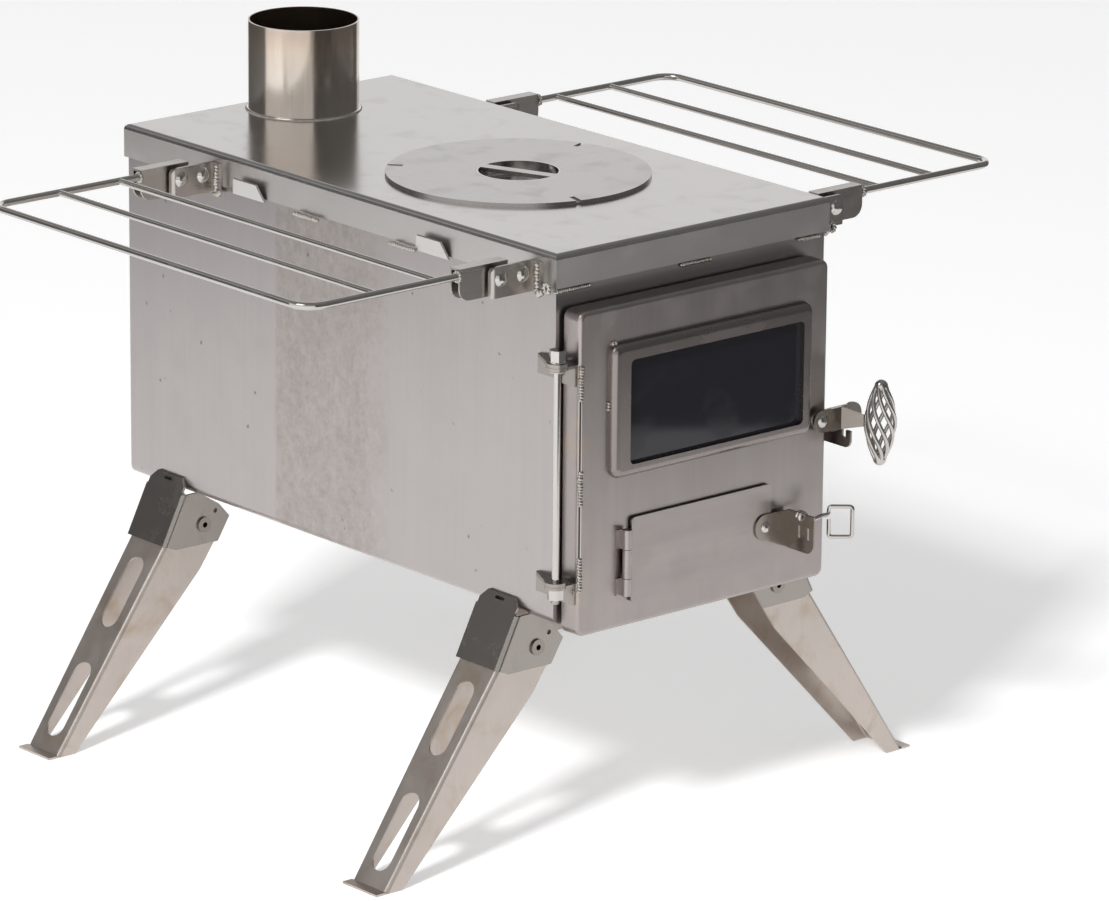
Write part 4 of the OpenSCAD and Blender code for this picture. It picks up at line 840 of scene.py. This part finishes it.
class StoveWelds(bpy.types.Operator):
    """Weld beads: door seam, tacks under the cover, ears, rack rods and the ring at the flue."""

    bl_idname = "stove.welds"
    bl_label = "Weld beads"

    def execute(self, context):
        r = context.scene.stove_pieces.bead_radius
        draw = random.Random(7)
        self.place("welds_body", "stove", "wall_steel", self.body_runs(r), draw)
        self.place("welds_door", "main_door", "door_steel", self.door_runs(r), draw)
        for side, name in SIDES:
            self.place("welds_rack_" + name, "rack_" + name, "polished_steel",
                       self.rack_runs(side, name, r), draw)
        return {"FINISHED"}

    def place(self, name, body, slot, runs, draw):
        """Lays ripples along runs of (points, outward way, radius)."""
        places = []
        for points, out, radius in runs:
            places += bead_places([Vector(point) for point in points], Vector(out), radius, draw)
        ripple = ball((0, 0, 0), segments=10, rings=6)
        settle(copies(ripple, places), name, "Weld metal", body)

    def body_runs(self, r):
        """Runs on the cover: side tacks, ears, corner pits, front tacks and flue collar."""
        runs = []
        foot = COVER_LOW.z - TACK_DROP
        for side, name in SIDES:
            edge = side * (COVER_HIGH.x - TACK_IN)
            for ends in SIDE_TACKS:
                runs.append(([(edge, COVER_LOW.y + y, foot) for y in ends], (side, 0, -0.5), r))
            for ear in ("rack_ear_front_", "rack_ear_rear_"):
                runs += self.ear_runs(side, *node_box(ear + name), r)
            runs += self.pit_runs(side, r)
        for ends in FRONT_TACKS:
            points = [(x, COVER_LOW.y + FRONT_TACK_IN, foot) for x in ends]
            runs.append((points, (0, -1, -0.5), r * FRONT_TACK_SHARE))
        return runs + self.collar_runs(r)

    def ear_runs(self, side, low, high, r):
        """The upright bead before a rack ear, and the blobs at its foot."""
        x = side * COVER_HIGH.x
        points = [(x, low.y - EAR_BEAD_AHEAD, z)
                  for z in (low.z + EAR_BEAD_ENDS[0], high.z - EAR_BEAD_ENDS[1])]
        runs = [(points, (side, -0.6, 0), r * EAR_SHARE)]
        for ahead, up, share in EAR_BLOBS:
            points = [(x, low.y - ahead - run, low.z + up) for run in (0, BLOB_RUN)]
            runs.append((points, (side, 0, 0), r * share))
        return runs

    def pit_runs(self, side, r):
        """Ragged weld round the pit at the cover's front corner."""
        centre = Vector((side * (COVER_HIGH.x - PIT_BEAD_SINK),
                         COVER_LOW.y + PIT_IN, COVER_LOW.z + PIT_UP))
        across, up = PIT_BEAD_REACH
        return [(ends, (side, 0, 0), r * PIT_SHARE) for ends in round_runs(
            centre, Vector((0, across, 0)), Vector((0, 0, up)), PIT_BEADS)]

    def collar_runs(self, r):
        """The ring at the collar's foot and the seam up its back."""
        centre = (COLLAR_LOW + COLLAR_HIGH) / 2
        centre.z = COVER_HIGH.z
        reach = (COLLAR_HIGH.x - COLLAR_LOW.x) / 2 - COLLAR_BEAD_IN
        runs = []
        for ends in round_runs(centre, Vector((reach, 0, 0)), Vector((0, reach, 0)), COLLAR_BEADS):
            out = (ends[0] - centre).normalized() + Vector((0, 0, 1))
            runs.append((ends, out, r * COLLAR_SHARE))
        back = centre.y + reach - COLLAR_SEAM_IN
        seam = [(centre.x, back, z)
                for z in (COVER_HIGH.z + COLLAR_SEAM_ENDS, COLLAR_HIGH.z - COLLAR_SEAM_ENDS)]
        return runs + [(seam, (0, 1, 0), r * COLLAR_SEAM_SHARE)]

    def door_runs(self, r):
        """Runs on the door: its left seam, and the tacks of the window frame."""
        x, y = DOOR_LOW.x + SEAM_BEAD_IN[0], DOOR_LOW.y + SEAM_BEAD_IN[1]
        runs = [([(x, y, z) for z in ends], (-0.5, -1, 0), r * DOOR_SEAM_SHARE)
                for ends in SEAM_BEADS]
        y = DOOR_LOW.y - FRAME_TACK_AHEAD
        middle = WINDOW_HIGH.z - FRAME_TACK_DROP
        ends = (middle - FRAME_TACK_HALF, middle + FRAME_TACK_HALF)
        left = [(WINDOW_LOW.x - FRAME_TACK_OUT, y, z) for z in ends]
        right = [(WINDOW_HIGH.x + FRAME_TACK_OUT, y, z) for z in ends]
        top = [(WINDOW_LOW.x + x, y, WINDOW_HIGH.z + FRAME_TOP_TACK_UP) for x in FRAME_TOP_TACK]
        return runs + [(points, (0, -1, 0), r) for points in (left, top, right)]

    def rack_runs(self, side, name, r):
        """Rings round the two ends of a rack's rod."""
        low, high = node_box("rack_frame_" + name)
        rod = (high.z - low.z) / 2
        x = side * (min(abs(low.x), abs(high.x)) + ROD_BEAD_OUT)
        reach = rod + ROD_BEAD_REACH
        runs = []
        for y in (low.y + rod, high.y - rod):
            for ends in round_runs(Vector((x, y, low.z + rod)), Vector((0, reach, 0)),
                                   Vector((0, 0, reach)), ROD_BEADS):
                runs.append((ends, (side, 0, 0.2), r * ROD_SHARE))
        return runs


class StovePits(bpy.types.Operator):
    """Painted shade: dark balls that stand in for the shade in the pits of the cover's corner
    welds.
    """

    bl_idname = "stove.pits"
    bl_label = "Corner pits"

    def execute(self, context):
        # The balls are painted shade in the pits
        pits = [ball((side * (COVER_HIGH.x - PIT_SINK), COVER_LOW.y + PIT_IN,
                      COVER_LOW.z + PIT_UP), segments=16, rings=8, scale=PIT_HALVES)
                for side, name in SIDES]
        settle(joined(pits), "corner_pits", "Seam shadow", "stove")
        return {"FINISHED"}


class StoveSeam(bpy.types.Operator):
    """Dark wires of painted shade in the slits, and folded lips in the brighter rod finish, partly
    a painted highlight, along the door's left seam.
    """

    bl_idname = "stove.seam"
    bl_label = "Door seam"

    def execute(self, context):
        # Painted shade in the slits; the lips' brighter rod finish is partly a painted highlight of
        # the fold
        for name, finish, slot, wire in (
                ("door_seam_slits", "Seam shadow", "dark_steel", SLIT_WIRE),
                ("door_seam_lips", "Rod steel", "door_steel", LIP_WIRE)):
            x, y = DOOR_LOW.x + wire[0], DOOR_LOW.y + wire[1]
            wires = [wire_piece([(x, y, z) for z in ends], wire[2]) for ends in SEAM_SLITS]
            settle(joined(wires), name, finish, "main_door")
        return {"FINISHED"}


class StoveGrip(bpy.types.Operator):
    """Wire grip of the flap's latch: curled over the ear's top, then bent into an open loop."""

    bl_idname = "stove.grip"
    bl_label = "Flap grip"

    def execute(self, context):
        s = context.scene.stove_pieces
        r = s.grip_wire / 2
        y = GRIP_HIGH.y - r
        plate = GRIP_LOW.x - CURL_OFF_PLATE
        top = LEVER_HIGH.z - CURL_BELOW_TOP
        curl = []
        for i in range(CURL_STEPS + 1):
            t = i / CURL_STEPS
            a = CURL_START - CURL_SWEEP * t
            curl.append(Vector((plate + CURL_R * math.cos(a), y + (1 - t) * CURL_DEPTH,
                                top + CURL_R * math.sin(a))))
        low, high = GRIP_LOW.z + r, GRIP_HIGH.z - r
        stem = high - STEM_DROP
        reach = (y - GRIP_LOW.y - r) / math.sin(s.grip_turn)
        post = GRIP_HIGH.x - r - reach * math.cos(s.grip_turn)
        near = Vector((post, y, 0.0))
        far = near + Vector((math.cos(s.grip_turn), -math.sin(s.grip_turn), 0.0)) * reach
        up = Vector((0.0, 0.0, 1.0))
        corners = [curl[-1]]
        corners += [Vector((plate + out, y, stem - down)) for out, down in STEM_BENDS]
        corners += [Vector((post - STEM_END, y, stem)), near + up * stem, near + up * high,
                    far + up * high, far + up * low, near + up * low,
                    near + up * (stem - s.grip_wire - LOOP_GAP)]
        wire = wire_piece(curl[:-1] + rounded_path(corners, WIRE_BEND), r)
        settle(wire, "grip_wire", "Rod steel", "air_latch")
        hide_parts("flap_grip")
        return {"FINISHED"}


class StoveHinge(bpy.types.Operator):
    """Washers and thread of the hinge rod."""

    bl_idname = "stove.hinge"
    bl_label = "Hinge rod details"

    def execute(self, context):
        pitch = context.scene.stove_pieces.thread_pitch
        turns = int((NUT_LOW.z - ROD_LOW.z) / pitch)
        thread = [(NUT_LOW.z - (i + THREAD_START) * pitch, ROD_R, THREAD_R) for i in range(turns)]
        middle = (ROD_LOW + ROD_HIGH) / 2
        rings = []
        for z, reach, thick in (*WASHERS, *thread):
            clear_selection()
            bpy.ops.mesh.primitive_torus_add(
                major_radius=reach, minor_radius=thick, major_segments=32, minor_segments=10,
                location=(middle.x, middle.y, z))
            bpy.ops.object.shade_smooth()
            rings.append(bpy.context.object)
        settle(joined(rings), "hinge_rings", "Rod steel", "stove")
        return {"FINISHED"}


class StoveCage(bpy.types.Operator):
    """Cage handle: round rods that twist round a bulging cage, between domed caps."""

    bl_idname = "stove.cage"
    bl_label = "Cage handle"

    def execute(self, context):
        s = context.scene.stove_pieces
        middle = (CAGE_LOW + CAGE_HIGH) / 2
        height = CAGE_HIGH.z - CAGE_LOW.z
        widest = (CAGE_HIGH.x - CAGE_LOW.x) / 2 - s.cage_rod / 2
        narrowest = CAP_R * ROD_END_SHARE
        pieces = []
        for k in range(s.cage_rods):
            start = 2 * math.pi * k / s.cage_rods - math.pi / 2
            points = []
            for i in range(CAGE_STEPS + 1):
                t = i / CAGE_STEPS
                r = narrowest + (widest - narrowest) * math.sin(math.pi * t)
                a = start - s.cage_turn * (t - 0.5)
                points.append(middle + Vector((r * math.cos(a), r * math.sin(a),
                                               height * (t - 0.5) * ROD_SPAN_SHARE)))
            pieces.append(wire_piece(points, s.cage_rod / 2))
        for end in (-1, 1):
            place = middle + Vector((0, 0, end * (height / 2 - CAP_R)))
            pieces.append(ball(place, segments=28, rings=16, radius=CAP_R))
        handle = settle(joined(pieces), "cage_handle", "Rod steel", "main_latch")
        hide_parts("latch_cage")
        return {"FINISHED"}


class StoveStage(bpy.types.Operator):
    """Floor, dark cloths, lamps, world and camera."""

    bl_idname = "stove.stage"
    bl_label = "Stage"

    def execute(self, context):
        s = context.scene.stove_stage
        self.make_camera(s)
        self.make_floor(s)
        self.make_world(s)
        self.make_lamp("Key", s.key_place, s.key_size, s.key_power, "visible_glossy")
        self.make_lamp("Sheen", s.sheen_place, s.sheen_size, s.sheen_power, "visible_diffuse")
        self.make_cloth("flag_front", s.flag_turns, s.flag_near, s.flag_far, s.flag_height)
        self.make_cloth("flag_back", s.back_turns, s.back_near, s.back_far, s.back_high)
        context.scene.view_settings.view_transform = "Standard"
        return {"FINISHED"}

    def make_camera(self, s):
        """The camera at the photograph's viewing angle."""
        back = Vector((math.sin(s.azimuth) * math.cos(s.elevation),
                       -math.cos(s.azimuth) * math.cos(s.elevation), math.sin(s.elevation)))
        level = Vector((math.cos(s.azimuth), math.sin(s.azimuth), 0.0))
        upright = back.cross(level)
        right = level * math.cos(s.roll) + upright * math.sin(s.roll)
        up = upright * math.cos(s.roll) - level * math.sin(s.roll)
        data = bpy.data.cameras.new("Camera")
        data.lens = s.focal
        data.sensor_width = SENSOR_WIDTH
        data.sensor_fit = "HORIZONTAL"
        data.clip_end = SIGHT_END
        camera = link("Camera", data)
        camera.rotation_euler = Matrix((right, up, back)).transposed().to_euler()
        camera.location = Vector(s.target) + back * s.distance
        bpy.context.scene.camera = camera

    def make_floor(self, s):
        """A pale floor that shows white but keeps the stove's shadow."""
        clear_selection()
        bpy.ops.mesh.primitive_plane_add(size=FLOOR_SIZE, location=(0, 0, 0))
        floor = bpy.context.object
        floor.name = "floor"
        tree, shader, coords = new_material("Studio floor")
        uneven = swing(tree, noise(tree, coords, scale=1.2, detail=2.0), 0.01)
        surface(tree, shader, brighten(tree, s.floor_colour, uneven), FLOOR_ROUGH, metallic=0.0)
        shader.inputs["Specular IOR Level"].default_value = 0.2
        seen = add_node(tree, "ShaderNodeLightPath").outputs
        shown = maths(tree, "MAXIMUM", seen["Is Camera Ray"], seen["Is Glossy Ray"])
        shown = maths(tree, "MAXIMUM", shown, seen["Is Transmission Ray"])
        glow = add_node(tree, "ShaderNodeEmission", {"Strength": times(tree, shown, s.floor_glow)})
        both = add_node(tree, "ShaderNodeAddShader", {0: shader.outputs[0], 1: glow.outputs[0]})
        tree.links.new(both.outputs[0], tree.nodes["Material Output"].inputs["Surface"])
        floor.data.materials.append(bpy.data.materials["Studio floor"])

    def make_world(self, s):
        """Soft light all round, white low down and dim above."""
        world = bpy.data.worlds.new("Studio")
        world.use_nodes = True
        tree = world.node_tree
        sky = tree.nodes["Background"]
        coords = add_node(tree, "ShaderNodeTexCoord").outputs["Generated"]
        height = plus(tree, times(tree, axis_of(tree, coords, "Z"), 0.5), 0.5)
        dim = (s.sky_share,) * 3
        shade = ramp(tree, height, [(0.0, WHITE), (SKY_FADE[0], WHITE), (SKY_FADE[1], dim),
                                    (1.0, dim)])
        tree.links.new(shade, sky.inputs["Color"])
        sky.inputs["Strength"].default_value = s.world_strength
        bpy.context.scene.world = world

    def make_lamp(self, name, place, size, power, hidden_from):
        """A soft box at the picture's left, left out of one kind of light."""
        data = bpy.data.lights.new(name, "AREA")
        data.size = size
        data.energy = power
        lamp = link(name, data)
        lamp.location = place
        aim = Vector((0.0, 0.0, COVER_HIGH.z / 2)) - lamp.location
        lamp.rotation_euler = aim.to_track_quat("-Z", "Y").to_euler()
        setattr(lamp, hidden_from, False)

    def make_cloth(self, name, turns, near, far, height):
        """A dark cloth that lies and stands round part of the studio, for the metal to mirror."""
        if "Dark cloth" not in bpy.data.materials:
            tree, shader, coords = new_material("Dark cloth")
            folds = times(tree, noise(tree, coords, scale=3.0, detail=2.0), 0.04)
            surface(tree, shader, brighten(tree, CLOTH_COLOUR, folds), CLOTH_ROUGH, metallic=0.0)
        count = CLOTH_STEPS + 1
        rim = [turns[0] + (turns[1] - turns[0]) * i / CLOTH_STEPS for i in range(count)]
        rows = ((near, CLOTH_GAP), (far, CLOTH_GAP), (far, height))
        faces = [(j * count + i, j * count + i + 1, (j + 1) * count + i + 1, (j + 1) * count + i)
                 for j in range(len(rows) - 1) for i in range(CLOTH_STEPS)]
        mesh = bpy.data.meshes.new(name)
        mesh.from_pydata([(math.cos(turn) * r, math.sin(turn) * r, z)
                          for r, z in rows for turn in rim], [], faces)
        mesh.materials.append(bpy.data.materials["Dark cloth"])
        cloth = link(name, mesh)
        for ray in ("camera", "diffuse", "shadow", "transmission"):
            setattr(cloth, "visible_" + ray, False)


class StovePanel(bpy.types.Panel):
    """Lists the stove's operators."""

    bl_idname = "VIEW3D_PT_stove"
    bl_label = "Tent stove"
    bl_space_type = "VIEW_3D"
    bl_region_type = "UI"
    bl_category = "Tent stove"

    def draw(self, context):
        for operator in OPERATORS:
            self.layout.operator(operator.bl_idname)


SETTINGS = {"stove_stage": StoveStageSettings, "stove_finish": StoveFinishSettings,
            "stove_pieces": StovePieceSettings}
OPERATORS = (StoveStage, StoveFinishes, StoveWelds, StovePits, StoveSeam, StoveGrip, StoveHinge,
             StoveCage)


def register():
    """Adds the settings, operators and panel to Blender."""
    for name, group in SETTINGS.items():
        bpy.utils.register_class(group)
        setattr(bpy.types.Scene, name, bpy.props.PointerProperty(type=group))
    for operator in OPERATORS:
        bpy.utils.register_class(operator)
    bpy.utils.register_class(StovePanel)


def unregister():
    """Takes them out again."""
    bpy.utils.unregister_class(StovePanel)
    for operator in reversed(OPERATORS):
        bpy.utils.unregister_class(operator)
    for name, group in SETTINGS.items():
        delattr(bpy.types.Scene, name)
        bpy.utils.unregister_class(group)


def main():
    register()
    bpy.ops.stove.stage()
    bpy.ops.stove.finishes()
    bpy.ops.stove.welds()
    bpy.ops.stove.pits()
    bpy.ops.stove.seam()
    bpy.ops.stove.grip()
    bpy.ops.stove.hinge()
    bpy.ops.stove.cage()


if __name__ == "__main__":
    main()
